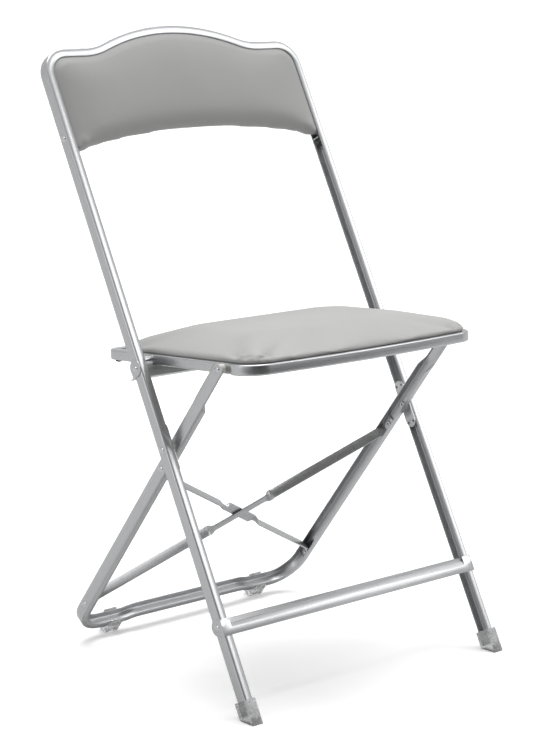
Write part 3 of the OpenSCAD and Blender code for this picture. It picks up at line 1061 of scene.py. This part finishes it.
def stacked(
    name: str, outline: Callable[[Ring], list[Point2]], rings: Sequence[Ring]
) -> bpy.types.Object:
    """Lofts a closed solid through rings of one outline, capped at both ends.

    Args:
        name: The object's name.
        outline: Gives the outline at a ring, always with the same number of points.
        rings: The levels, from one face to the other.

    Returns:
        The solid.
    """
    loops = [[(x, y, ring.height) for x, y in outline(ring)] for ring in rings]
    count = len(loops[0])
    points = [p for loop in loops for p in loop]
    faces: list[tuple[int, ...]] = [tuple(reversed(range(count)))]
    for level in range(len(loops) - 1):
        low = level * count
        for k in range(count):
            after = (k + 1) % count
            faces.append((low + k, low + after, low + count + after, low + count + k))
    faces.append(tuple(range((len(loops) - 1) * count, len(loops) * count)))
    obj = mesh_object(name, points, [], faces)
    finish_shell(obj)
    return obj


def covered(pad: bpy.types.Object, plane: Matrix) -> bpy.types.Object:
    """Smooths a pad with a Subdivision Surface and puts it in its plane.

    Args:
        pad: The pad, which is used up.
        plane: The plane.

    Returns:
        The pad, as a plain mesh in place.
    """
    smooth = pad.modifiers.new("smooth", "SUBSURF")
    smooth.levels = smooth.render_levels = 1
    piece = made_plain(pad)
    finish_shell(piece, crease=60)
    piece.data.transform(plane)
    return piece


@dataclass(frozen=True)
class Stuffing:
    """How a pad is filled: the remeshing and the cloth simulation that swells it."""

    voxel: float = 5 * MM
    pressure: float = 4.0
    frames: int = 20
    cap: float = 12 * MM
    stiffness: float = 12.0
    calm_rounds: int = 14
    calm_margin: int = 4

    def remeshed(self, obj: bpy.types.Object) -> bpy.types.Object:
        """Rebuilds a closed mesh as even squares, which cloth needs.

        Args:
            obj: The object, which is used up.

        Returns:
            The object with its new mesh.
        """
        remesh = obj.modifiers.new("even", "REMESH")
        remesh.mode = "VOXEL"
        remesh.voxel_size = self.voxel
        remesh.use_smooth_shade = True
        return made_plain(obj)

    def swell(self, obj: bpy.types.Object, held: Callable[[Vector], bool]) -> None:
        """Blows a pad up as cloth and keeps the result, with no vertex moved past the cap.

        Args:
            obj: The pad.
            held: Says which points the frame or the board holds.
        """
        start = [v.co.copy() for v in obj.data.vertices]
        fixed = [k for k, co in enumerate(start) if held(co)]
        obj.vertex_groups.new(name="held").add(fixed, 1.0, "REPLACE")
        cloth = obj.modifiers.new("swell", "CLOTH")
        settings = cloth.settings
        settings.quality = 5
        settings.use_pressure = True
        settings.uniform_pressure_force = self.pressure
        settings.effector_weights.gravity = 0
        settings.vertex_group_mass = "held"
        settings.tension_stiffness = self.stiffness
        settings.compression_stiffness = self.stiffness
        scene = bpy.context.scene
        for number in range(1, self.frames + 1):
            scene.frame_set(number)
        depsgraph = bpy.context.evaluated_depsgraph_get()
        ends = [v.co.copy() for v in obj.evaluated_get(depsgraph).data.vertices]
        obj.modifiers.remove(cloth)
        obj.vertex_groups.clear()
        scene.frame_set(1)
        for vertex, before, after in zip(obj.data.vertices, start, ends):
            move = after - before
            if move.length > self.cap:
                move *= self.cap / move.length
            vertex.co = before + move
        self.calm(obj, set(fixed))

    def calm(self, obj: bpy.types.Object, held: set[int]) -> None:
        """Relaxes the fine wrinkles, away from the points that the frame or the board holds.

        Args:
            obj: The pad.
            held: Those points' numbers.
        """
        cover = bmesh.new()
        cover.from_mesh(obj.data)
        cover.verts.ensure_lookup_table()
        for _ in range(self.calm_margin):
            edges = [(edge, cover.verts[k]) for k in held for edge in cover.verts[k].link_edges]
            held = held | {edge.other_vert(vertex).index for edge, vertex in edges}
        loose = [v for v in cover.verts if v.index not in held]
        axes = {"use_axis_" + axis: True for axis in "xyz"}
        for _ in range(self.calm_rounds):
            bmesh.ops.smooth_vert(cover, verts=loose, factor=0.5, **axes)
        cover.to_mesh(obj.data)
        cover.free()

    def fill(
        self,
        name: str,
        outline: Callable[[Ring], list[Point2]],
        rings: Sequence[Ring],
        held: Callable[[Vector], bool],
    ) -> bpy.types.Object:
        """Lofts a pad through its rings, rebuilds it as even squares and swells it.

        Args:
            name: The pad's name.
            outline: Gives the outline at a ring.
            rings: The levels, from one face to the other.
            held: Says which points the frame or the board holds.

        Returns:
            The pad.
        """
        pad = self.remeshed(stacked(name, outline, rings))
        self.swell(pad, held)
        return pad


# ---- Front frame -------------------------------------------------------------------------------


@dataclass
class FrontFrame:
    """The crown-backed frame with its footrest, crossbar, pivot plates and feet."""

    planes: ChairPlanes
    finishes: Finishes
    sweep: ChannelSweep
    rivets: RivetRow
    depth: float = 18 * MM
    leg_start: float = 18 * MM * math.tan(math.radians(28)) + 3.5 * MM
    crown_corner: float = 37 * MM
    crown_arch: float = 320 * MM
    crown_saddle: float = 90 * MM
    crown_sweep: float = 22.0
    strap: float = 1.5 * MM
    wall: float = 1.2 * MM
    sheet_edge: float = 0.45 * MM
    foot_edge: float = 1.6 * MM
    pivot_grip: float = 18.9 * MM
    small_tail: float = 3.2 * MM
    small_bore: float = 1.2 * MM
    body: str = "front"

    @cached_property
    def half_width(self) -> float:
        """Half the width across the webs."""
        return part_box("front_frame")[1].x

    @cached_property
    def reach(self) -> float:
        """The length up the legs from the floor to the top of the crown."""
        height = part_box("front_frame")[1].z
        return height / math.cos(math.radians(self.planes.front_lean))

    @cached_property
    def shoulder_reach(self) -> float:
        """The length up the legs to the crown's level shoulders."""
        fall = 1 - math.cos(math.radians(self.crown_sweep))
        return self.reach - (self.crown_arch + self.crown_saddle) * fall

    def crown(self, path: BentPath) -> None:
        """Draws the crown: a shoulder, a hollow, the arch and the same in reverse.

        Args:
            path: The path that it is drawn on.
        """
        hollow = self.crown_arch + self.crown_saddle
        shoulder = self.half_width - self.crown_corner
        shoulder -= hollow * math.sin(math.radians(self.crown_sweep))
        path.turn(self.crown_corner, 90).go(shoulder)
        path.turn(self.crown_saddle, -self.crown_sweep)
        path.turn(self.crown_arch, 2 * self.crown_sweep)
        path.turn(self.crown_saddle, -self.crown_sweep)
        path.go(shoulder).turn(self.crown_corner, 90)

    def build_channel(self) -> None:
        """Sweeps the channel up one leg, over the crown and down the other."""
        side = self.shoulder_reach - self.crown_corner - self.leg_start
        path = BentPath((-self.half_width, self.leg_start)).go(side)
        self.crown(path)
        path.go(side)
        piece = self.sweep.make(
            "front_channel", path.points, ChannelSection(self.depth), self.finishes.steel
        )
        piece.data.transform(self.planes.front)
        finish_shell(piece, crease=50)
        dress(piece, self.finishes.steel, self.body, "frame_steel", "front_frame")

    def build_sheet(self) -> None:
        """Breaks the edges of the footrest, the crossbar, the plates and the brackets."""
        for node, name in (
            ("stretcher", "footrest_bar"),
            ("rear_crossbar", "seat_rest_bar"),
            ("pivot_plate_left", "crossing_plate_left"),
            ("pivot_plate_right", "crossing_plate_right"),
            ("back_brackets", "back_hanger_brackets"),
        ):
            finish = self.finishes.sheet_steel
            soften(node, name, self.sheet_edge, finish, self.body, "frame_steel")

    def build_feet(self) -> None:
        """Rounds the clear caps on the front legs."""
        for side in ("left", "right"):
            node, name = "front_foot_" + side, "clear_foot_" + side
            finish = self.finishes.clear
            soften(node, name, self.foot_edge, finish, self.body, "clear_plastic", steps=3)

    def set_rivets(
        self, name: str, rivet: Rivet, places: Sequence[Point3], plane: Matrix, body: str
    ) -> None:
        """Sets the rivets of one CAD node and dresses them.

        Args:
            name: The node.
            rivet: The rivet.
            places: Where the heads sit on the +X side, in the plane.
            plane: The plane.
            body: The body that they ride on.
        """
        row = self.rivets.make(name + "_turned", rivet, places, plane, self.finishes.plated)
        dress(row, self.finishes.plated, body, "rivet_steel", name)

    def build_rivets(self) -> None:
        """Sets the frame's own rivets and those that the rear frame turns on."""
        outer = self.half_width + self.strap
        sheet = Rivet(self.strap + self.wall)
        pivot = Rivet(self.pivot_grip)
        small = Rivet(self.wall + self.strap, tail=self.small_tail, bore=self.small_bore)
        for name, rivet, x, reach in (
            ("stretcher_rivets", sheet, outer, self.reach_of("stretcher_rivets")),
            ("crossbar_rivets", sheet, outer, self.reach_of("crossbar_rivets")),
            ("crossing_rivets", pivot, self.half_width, self.planes.crossing_reach),
            ("back_rivets", small, self.half_width, self.reach_of("back_rivets")),
        ):
            place = (x, reach, -self.depth / 2)
            self.set_rivets(name, rivet, [place], self.planes.front, self.body)

    def reach_of(self, node: str) -> float:
        """The length up the legs to the middle of a node."""
        low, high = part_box(node)
        return (self.planes.front.inverted() @ ((low + high) / 2)).y

    def build(self) -> None:
        """Builds and dresses the whole frame."""
        self.build_channel()
        self.build_sheet()
        self.build_feet()
        self.build_rivets()
        paint(self.finishes.nylon, "crossing_spacers")
        paint(self.finishes.rubber, "back_bumpers")
        paint(self.finishes.board, "back_board")


# ---- Back --------------------------------------------------------------------------------------


@dataclass
class BackRest:
    """The padded back, held in the crown's channel and free along its arched lower edge."""

    front: FrontFrame
    gap: float = 4 * MM
    cover: float = 13 * MM
    side_drop: float = 23 * MM
    below_crown: float = 156 * MM
    bulge: float = 12 * MM
    rear_bulge: float = 4 * MM
    tuck_start: float = 1 * MM
    tuck_length: float = 4 * MM
    stuffing: Stuffing = Stuffing(cap=9 * MM, pressure=3.0)

    def outline(self, ring: Ring) -> list[Point2]:
        """Draws the crown's inside at one level, with the arched lower edge lifted.

        Args:
            ring: The level.

        Returns:
            The closed outline's points.
        """
        front = self.front
        sweep = front.crown_sweep
        side = front.half_width - ring.inset
        corner = max(front.crown_corner - ring.inset, 2 * MM)
        shoulder = front.shoulder_reach - ring.inset
        turn = (front.crown_arch + front.crown_saddle) * math.sin(math.radians(sweep))
        saddle = (turn, front.shoulder_reach + front.crown_saddle)
        top = (0.0, front.reach - front.crown_arch)
        right = arc(top, front.crown_arch - ring.inset, 90, 90 - sweep, 8)
        right += arc(saddle, front.crown_saddle + ring.inset, 270 - sweep, 270, 5)
        right += arc((side - corner, shoulder - corner), corner, 90, 0, 8)
        radius = (side**2 + self.side_drop**2) / (2 * self.side_drop)
        half = math.degrees(math.asin(side / radius))
        base = front.reach - self.below_crown + ring.lift
        lower = arc((0.0, base - radius), radius, 90 - half, 90 + half, 24)
        return right + lower + mirrored(right)

    def build(self) -> None:
        """Lofts, swells and dresses the pad."""
        depth = self.front.depth
        middle = -depth / 2
        inner = depth / 2 - self.front.wall - 1.0 * MM
        rings = [
            Ring(60 * MM, -depth - self.rear_bulge + 2 * MM, 26 * MM),
            Ring(28 * MM, -depth - 0.5 * MM, 11 * MM),
            Ring(self.cover + 4 * MM, middle - inner, 4 * MM),
            Ring(self.gap + 1 * MM, middle - inner + 1.5 * MM, 1 * MM),
            Ring(self.gap, middle, 0.0),
            Ring(self.gap + 1 * MM, middle + inner - 1.5 * MM, 1 * MM),
            Ring(self.cover + 2 * MM, 0.8 * MM, 4 * MM),
            Ring(20 * MM, 4 * MM, 9 * MM),
            Ring(34 * MM, 8 * MM, 16 * MM),
            Ring(60 * MM, self.bulge - 1 * MM, 28 * MM),
        ]
        pad = self.stuffing.fill(
            "back_cushion",
            self.outline,
            rings,
            lambda co: self.depth_inside(co.x, co.y) < self.cover,
        )
        self.settle(pad)
        pad = covered(pad, self.front.planes.front)
        dress(pad, self.front.finishes.vinyl, self.front.body, "vinyl", "back_pad")

    def depth_inside(self, x: float, y: float) -> float:
        """How far inside the frame's outer line a point is, ignoring the open lower side.

        Args:
            x: The point's place across the front plane.
            y: Its place up the front plane.

        Returns:
            The distance, which is below zero outside the line.
        """
        front = self.front
        corner_x = front.half_width - front.crown_corner
        corner_y = front.shoulder_reach - front.crown_corner
        hollow = front.crown_arch + front.crown_saddle
        turn = hollow * math.sin(math.radians(front.crown_sweep))
        if abs(x) > corner_x and y > corner_y:
            return front.crown_corner - math.hypot(abs(x) - corner_x, y - corner_y)
        if abs(x) < turn * (front.crown_arch / hollow):
            top = front.crown_arch - math.hypot(x, y - front.reach + front.crown_arch)
        elif abs(x) < turn:
            top = math.hypot(abs(x) - turn, y - front.shoulder_reach - front.crown_saddle)
            top -= front.crown_saddle
        else:
            top = front.shoulder_reach - y
        return min(front.half_width - abs(x), top)

    def settle(self, pad: bpy.types.Object) -> None:
        """Scales the swell to the pad's real thickness and tucks its rim inside the channel.

        Args:
            pad: The pad, in the front plane.
        """
        half = self.front.depth / 2
        room = half - self.front.wall - 0.5 * MM
        edge = self.front.half_width - self.gap + 1 * MM
        front = max(v.co.z for v in pad.data.vertices) + half
        rear = -half - min(v.co.z for v in pad.data.vertices)
        for vertex in pad.data.vertices:
            co = vertex.co
            ahead = co.z > -half
            target = half + (self.bulge if ahead else self.rear_bulge)
            offset = (co.z + half) * (target / (front if ahead else rear))
            inside = self.depth_inside(co.x, co.y) - self.cover + self.tuck_start
            limit = room + min(1.0, max(0.0, inside / self.tuck_length)) * (target - room)
            co.z = -half + math.copysign(min(abs(offset), limit), offset)
            co.x = math.copysign(min(abs(co.x), edge), co.x)


# ---- Rear frame --------------------------------------------------------------------------------


@dataclass
class RearFrame:
    """The crossed frame behind: legs, floor bar, braces and glides."""

    front: FrontFrame
    half: float = 207.5 * MM
    corner: float = 48 * MM
    kink_radius: float = 60 * MM
    rise: float = 4.5 * MM
    raised_half: float = 107 * MM
    bar_reach: float = 387.716 * MM
    flange: float = 12 * MM
    lip: float = 3.5 * MM
    lip_start: float = 91 * MM
    taper_start: float = 76 * MM
    top_lead: float = 4 * MM
    top_step: float = 2 * MM
    end_blend: float = 12 * MM
    strap_edge: float = 0.35 * MM
    glide_edge: float = 1.2 * MM
    strap_grip: float = 3.2 * MM
    hinge_grip: float = 11.9 * MM
    hinge_head: float = 5 * MM
    brace_high: float = 41.5 * MM
    brace_low: float = 59 * MM
    body: str = "rear_legs"

    def build_channel(self) -> None:
        """Sweeps the channel down one leg, along the floor bar and up the other."""
        planes, depth = self.front.planes, self.front.depth
        top = planes.link_length + depth / 2
        tapered = top - self.taper_start + self.top_lead
        kink = math.degrees(math.acos(1 - self.rise / (2 * self.kink_radius)))
        ramp = 2 * self.kink_radius * math.sin(math.radians(kink))
        flat = self.half - self.corner - self.raised_half - ramp / 2
        side = self.bar_reach - self.corner + top - tapered
        steps = math.ceil(tapered / self.top_step)
        path = BentPath((self.half, top), heading=270.0)
        path.go(tapered, steps).go(side).turn(self.corner, 90).go(flat)
        path.turn(self.kink_radius, kink).turn(self.kink_radius, -kink)
        path.go(2 * self.raised_half - ramp)
        path.turn(self.kink_radius, -kink).turn(self.kink_radius, kink)
        path.go(flat).turn(self.corner, 90).go(side).go(tapered, steps)
        piece = self.front.sweep.make(
            "rear_channel", path.points, ChannelSection(depth), self.front.finishes.steel
        )
        for vertex in piece.data.vertices:
            vertex.co.z += depth / 2
            self.shape_leg_top(vertex.co)
        piece.data.transform(planes.rear)
        finish_shell(piece, crease=50)
        dress(piece, self.front.finishes.steel, self.body, "frame_steel", "rear_frame")

    def shape_leg_top(self, co: Vector) -> None:
        """Narrows the flanges near the seat hinge and rounds the leg's end about it.

        Args:
            co: A vertex's place in the rear plane, which is changed.
        """
        link, radius = self.front.planes.link_length, self.front.depth / 2
        wall = self.front.wall
        if co.y > self.taper_start:
            share = min(1.0, (co.y - self.taper_start) / (self.lip_start - self.taper_start))
            width = self.flange + (self.lip - self.flange) * share
            depth_in = (self.half - abs(co.x)) * width / self.flange
            if self.half - abs(co.x) > wall * 1.5:
                co.x = math.copysign(self.half - max(depth_in, wall), co.x)
        base = link - self.end_blend
        if co.y > base:
            reach = link + math.sqrt(max(radius**2 - min(abs(co.z), radius) ** 2, 0.0))
            co.y = base + (co.y - base) * (reach - base) / (link + radius - base)

    def build_braces(self) -> None:
        """Breaks the edges of the two twisted straps."""
        for end in ("front", "rear"):
            node, name = "brace_" + end, "cross_strap_" + end
            finish = self.front.finishes.sheet_steel
            soften(node, name, self.strap_edge, finish, self.body, "frame_steel")

    def build_glides(self) -> None:
        """Rounds the clear glides under the floor bar."""
        for side in ("left", "right"):
            node, name = "floor_glide_" + side, "clear_glide_" + side
            finish = self.front.finishes.clear
            soften(node, name, self.glide_edge, finish, self.body, "clear_plastic", steps=3)

    def build_rivets(self) -> None:
        """Sets the braces' rivets and the seat's hinge rivets."""
        planes = self.front.planes
        strap = Rivet(self.strap_grip)
        places = [(self.half, -self.brace_high, 0.0)]
        places.append((self.half, self.brace_low - self.bar_reach, 0.0))
        self.front.set_rivets("brace_rivets", strap, places, planes.rear, self.body)
        hinge = Rivet(self.hinge_grip, head=self.hinge_head)
        places = [(self.half, planes.link_length, 0.0)]
        self.front.set_rivets("hinge_rivets", hinge, places, planes.rear, self.body)

    def build(self) -> None:
        """Builds and dresses the whole rear frame."""
        self.build_channel()
        self.build_braces()
        self.build_glides()
        self.build_rivets()
        paint(self.front.finishes.nylon, "hinge_spacers")


# ---- Seat --------------------------------------------------------------------------------------


@dataclass
class Seat:
    """The seat: a closed channel rim, a plywood board and the padding on it."""

    front: FrontFrame
    rim_height: float = 14 * MM
    rim_half: float = 197 * MM
    rim_bend: float = 2.2 * MM
    step_out: float = 5 * MM
    ahead: float = 24 * MM
    corner: float = 36 * MM
    tail: float = 250 * MM
    tail_corner: float = 18 * MM
    joggle_out: float = 14 * MM
    joggle_in: float = 5 * MM
    bow_turn: float = 6.0
    pad_inset: float = 4 * MM
    pad_rear_gap: float = 33 * MM
    pad_corner: float = 30 * MM
    pad_height: float = 30 * MM
    pad_held: float = 5 * MM
    board_show: float = 0.3 * MM
    stuffing: Stuffing = Stuffing(voxel=4 * MM, cap=12 * MM, pressure=4.0)
    body: str = "seat"

    @cached_property
    def bow(self) -> float:
        """The radius of the rim's bowed front."""
        turn, outer = math.radians(self.bow_turn), self.rim_half + self.step_out
        return (outer - self.corner + self.corner * math.sin(turn)) / math.sin(turn)

    def build_rim(self) -> None:
        """Sweeps the rim's closed loop, stepped out ahead of the hinges."""
        joggle = self.joggle_out + self.joggle_in
        turn = math.degrees(math.acos(1 - self.step_out / joggle))
        straight = self.tail - self.tail_corner + self.ahead
        straight -= joggle * math.sin(math.radians(turn))
        path = BentPath((self.rim_half, self.tail - self.tail_corner), heading=270.0)
        path.go(straight).turn(self.joggle_in, -turn).turn(self.joggle_out, turn)
        path.turn(self.corner, 90 - self.bow_turn).turn(self.bow, 2 * self.bow_turn)
        path.turn(self.corner, 90 - self.bow_turn)
        path.turn(self.joggle_out, turn).turn(self.joggle_in, -turn).go(straight)
        path.turn(self.tail_corner, 90).go(2 * (self.rim_half - self.tail_corner))
        path.turn(self.tail_corner, 90)
        section = ChannelSection(self.rim_height, bend=self.rim_bend)
        piece = self.front.sweep.make(
            "seat_rim_channel", path.points[:-1], section, self.front.finishes.steel, closed=True
        )
        for vertex in piece.data.vertices:
            vertex.co.z += self.rim_height / 2
        piece.data.transform(self.front.planes.seat)
        finish_shell(piece, crease=50)
        dress(piece, self.front.finishes.steel, self.body, "frame_steel", "seat_rim")

    def outline(self, ring: Ring) -> list[Point2]:
        """Draws the pad's plan at one level: bowed front, round corners and square sides.

        Args:
            ring: The level.

        Returns:
            The closed outline's points.
        """
        side = self.rim_half - ring.inset
        corner = max(self.corner - ring.inset, 2 * MM)
        rear = max(self.pad_corner - ring.inset + self.pad_inset, 2 * MM)
        bow = self.bow - ring.inset
        tail = self.tail - self.pad_rear_gap - ring.inset + self.pad_inset
        corner_x = side - corner
        bow_turn = math.degrees(math.asin(corner_x / (bow - corner)))
        drop = (corner + (bow - corner)) - (bow - corner) * math.cos(math.radians(bow_turn))
        right = arc((0.0, bow - self.ahead - drop), bow, 270, 270 + bow_turn, 6)
        right += arc((corner_x, -self.ahead), corner, 270 + bow_turn, 360, 8)
        right += arc((side - rear, tail - rear), rear, 0, 90, 6)
        return right + mirrored(right)

    def build_pad(self) -> None:
        """Lofts, swells and dresses the seat pad."""
        base = self.rim_height / 2 + self.board_show
        top = self.rim_height / 2 + self.pad_height
        levels = (
            (0.5, 0),
            (-1.5, 1.5),
            (-1.5, 6),
            (0, 12),
            (4, 18),
            (12, 23.5),
            (28, 27),
            (70, 28.5),
        )
        rings = [Ring(self.pad_inset + inset * MM, base + rise * MM) for inset, rise in levels]
        pad = self.stuffing.fill(
            "seat_cushion", self.outline, rings, lambda co: co.z < base + self.pad_held
        )
        highest = max(v.co.z for v in pad.data.vertices)
        for vertex in pad.data.vertices:
            if vertex.co.z > base:
                vertex.co.z = base + (vertex.co.z - base) * (top - base) / (highest - base)
        pad = covered(pad, self.front.planes.seat)
        dress(pad, self.front.finishes.vinyl, self.body, "vinyl", "seat_pad")

    def build(self) -> None:
        """Builds and dresses the whole seat."""
        self.build_rim()
        self.build_pad()
        finishes = self.front.finishes
        paint(finishes.board, "seat_board")
        paint(finishes.plated, "seat_screws", "slide_pins", "slide_spacers")
        paint(finishes.nylon, "slide_bushes")
        paint(finishes.rubber, "tail_bumpers")


# ---- Studio ------------------------------------------------------------------------------------


def aimed(place: Sequence[float], back: Vector) -> Matrix:
    """Where a lamp or a camera stands, with its own Z axis along the vector that points back."""
    return Matrix.Translation(Vector(place)) @ back.to_track_quat("Z", "Y").to_matrix().to_4x4()


@dataclass(frozen=True)
class Softbox:
    """A square diffused lamp: where it hangs, what it points at, its size and its power."""

    name: str
    place: Point3
    size: float
    power: float
    target: Point3 = (0.0, 0.0, 0.4)

    def hang(self) -> None:
        """Adds the lamp to the scene."""
        lamp = bpy.data.lights.new(self.name, "AREA")
        lamp.shape = "SQUARE"
        lamp.size = self.size
        lamp.energy = self.power
        obj = new_object(self.name, lamp)
        obj.matrix_world = aimed(self.place, Vector(self.place) - Vector(self.target))


@dataclass(frozen=True)
class Studio:
    """The pale floor, the soft lamps and the camera."""

    floor_half: float = 60.0
    azimuth: float = -40.6
    elevation: float = 11.34
    distance: float = 2.918
    target: Point3 = (0.0, 0.004, 0.382)
    lens: float = 143.9
    sensor: float = 36.0
    view_end: float = 200.0
    ambient: float = 0.66
    room_dark: float = 0.06
    room_fall: Point2 = (0.6, 0.92)
    key: Softbox = Softbox("key_box", (1.9, -1.7, 1.9), 1.5, 15.0)
    side: Softbox = Softbox("side_box", (-2.4, 0.15, 0.9), 0.6, 3.0)
    broad_power: float = 2.2
    broad_width: float = 50.0
    broad_tilt: Point2 = (-12.0, 10.0)
    dark_side: Point3 = (-0.33, -0.94, 0.0)
    floor_fall: Point2 = (0.7, 1.8)
    floor_bounce: str = "#c8c8c8"
    floor_dark: str = "#3a3a3a"
    floor_lift: float = 0.12

    def ahead(
        self, tree: bpy.types.NodeTree, coordinate: str, fall: Point2, ends: Point2
    ) -> bpy.types.NodeSocket:
        """Measures how far a place or a direction lies towards the dark side.

        Args:
            tree: The tree that gets the nodes.
            coordinate: The texture coordinate that is measured.
            fall: The measures at which the result starts and stops to change.
            ends: The results there.

        Returns:
            The result's socket.
        """
        place = add_node(tree, "ShaderNodeTexCoord").outputs[coordinate]
        measure = add_node(
            tree, "ShaderNodeVectorMath", {1: self.dark_side}, {0: place}, operation="DOT_PRODUCT"
        )
        limits = zip(("From Min", "From Max", "To Min", "To Max"), (*fall, *ends))
        eased = add_node(
            tree,
            "ShaderNodeMapRange",
            dict(limits),
            {"Value": measure.outputs["Value"]},
            interpolation_type="SMOOTHSTEP",
        )
        return eased.outputs["Result"]

    def build_floor(self) -> None:
        """Lays the seamless pale floor.

        It is white to the eye, but throws back the light of a grey floor that ends in the dark
        in front of the chair, as a studio's does, so that the steel has something to mirror.
        """
        half = self.floor_half
        corners = [(-half, -half, 0), (half, -half, 0), (half, half, 0), (-half, half, 0)]
        floor = mesh_object("paper_floor", corners, [], [(0, 1, 2, 3)])
        tree, shader, material = surface("white_paper")
        white = linear("#ffffff")
        seen = add_node(tree, "ShaderNodeLightPath").outputs["Is Camera Ray"]
        bounced = add_node(
            tree,
            "ShaderNodeMix",
            {COLOUR_A: linear(self.floor_bounce), COLOUR_B: linear(self.floor_dark)},
            {FACTOR: self.ahead(tree, "Object", self.floor_fall, (0.0, 1.0))},
            data_type="RGBA",
        )
        tint = add_node(
            tree,
            "ShaderNodeMix",
            {COLOUR_B: white},
            {FACTOR: seen, COLOUR_A: bounced.outputs[MIXED_COLOUR]},
            data_type="RGBA",
        )
        lift = add_node(
            tree,
            "ShaderNodeMix",
            {NUMBER_A: 0.0, NUMBER_B: self.floor_lift},
            {FACTOR: seen},
            data_type="FLOAT",
        )
        values = {"Emission Color": white, "Roughness": 0.85, "Specular IOR Level": 0.2}
        links = {"Base Color": tint.outputs[MIXED_COLOUR]}
        links["Emission Strength"] = lift.outputs[MIXED_NUMBER]
        set_sockets(tree, shader, values, links)
        floor.data.materials.append(material)

    def build_room(self) -> None:
        """Sets the room's even light, which is dark on the side that the chair is seen from."""
        world = bpy.data.worlds.new("studio")
        bpy.context.scene.world = world
        world.use_nodes = True
        tree = world.node_tree
        room = self.ahead(tree, "Generated", self.room_fall, (self.ambient, self.room_dark))
        seen = add_node(
            tree,
            "ShaderNodeMix",
            {NUMBER_B: 1.0},
            {
                FACTOR: add_node(tree, "ShaderNodeLightPath").outputs["Is Camera Ray"],
                NUMBER_A: room,
            },
            data_type="FLOAT",
        )
        links = {"Strength": seen.outputs[MIXED_NUMBER]}
        set_sockets(tree, tree.nodes["Background"], {"Color": linear("#ffffff")}, links)

    def build_light(self) -> None:
        """Hangs the softboxes and the broad lamp."""
        self.key.hang()
        self.side.hang()
        broad = bpy.data.lights.new("broad_lamp", "SUN")
        broad.energy = self.broad_power
        broad.angle = math.radians(self.broad_width)
        lamp = new_object("broad_lamp", broad)
        lamp.rotation_euler = (*map(math.radians, self.broad_tilt), 0.0)

    def build_camera(self) -> None:
        """Stands the camera at the front left of the chair."""
        azimuth, elevation = math.radians(self.azimuth), math.radians(self.elevation)
        flat = math.cos(elevation)
        back = Vector((math.sin(azimuth) * flat, -math.cos(azimuth) * flat, math.sin(elevation)))
        camera = bpy.data.cameras.new("camera")
        camera.lens = self.lens
        camera.sensor_fit = "HORIZONTAL"
        camera.sensor_width = self.sensor
        camera.clip_end = self.view_end
        obj = new_object("camera", camera)
        obj.matrix_world = aimed(Vector(self.target) + back * self.distance, back)
        bpy.context.scene.camera = obj

    def build(self) -> None:
        """Builds the whole studio."""
        bpy.context.scene.view_settings.view_transform = "Standard"
        self.build_camera()
        self.build_floor()
        self.build_room()
        self.build_light()


def main() -> None:
    """Builds the studio and the chair, one assembly at a time."""
    logging.basicConfig(level=logging.INFO, format="%(asctime)s %(name)s: %(message)s")
    Studio().build()
    planes = ChairPlanes()
    front = FrontFrame(planes, Finishes(), ChannelSweep(), RivetRow())
    front.build()
    BackRest(front).build()
    RearFrame(front).build()
    Seat(front).build()


if __name__ == "__main__":
    main()
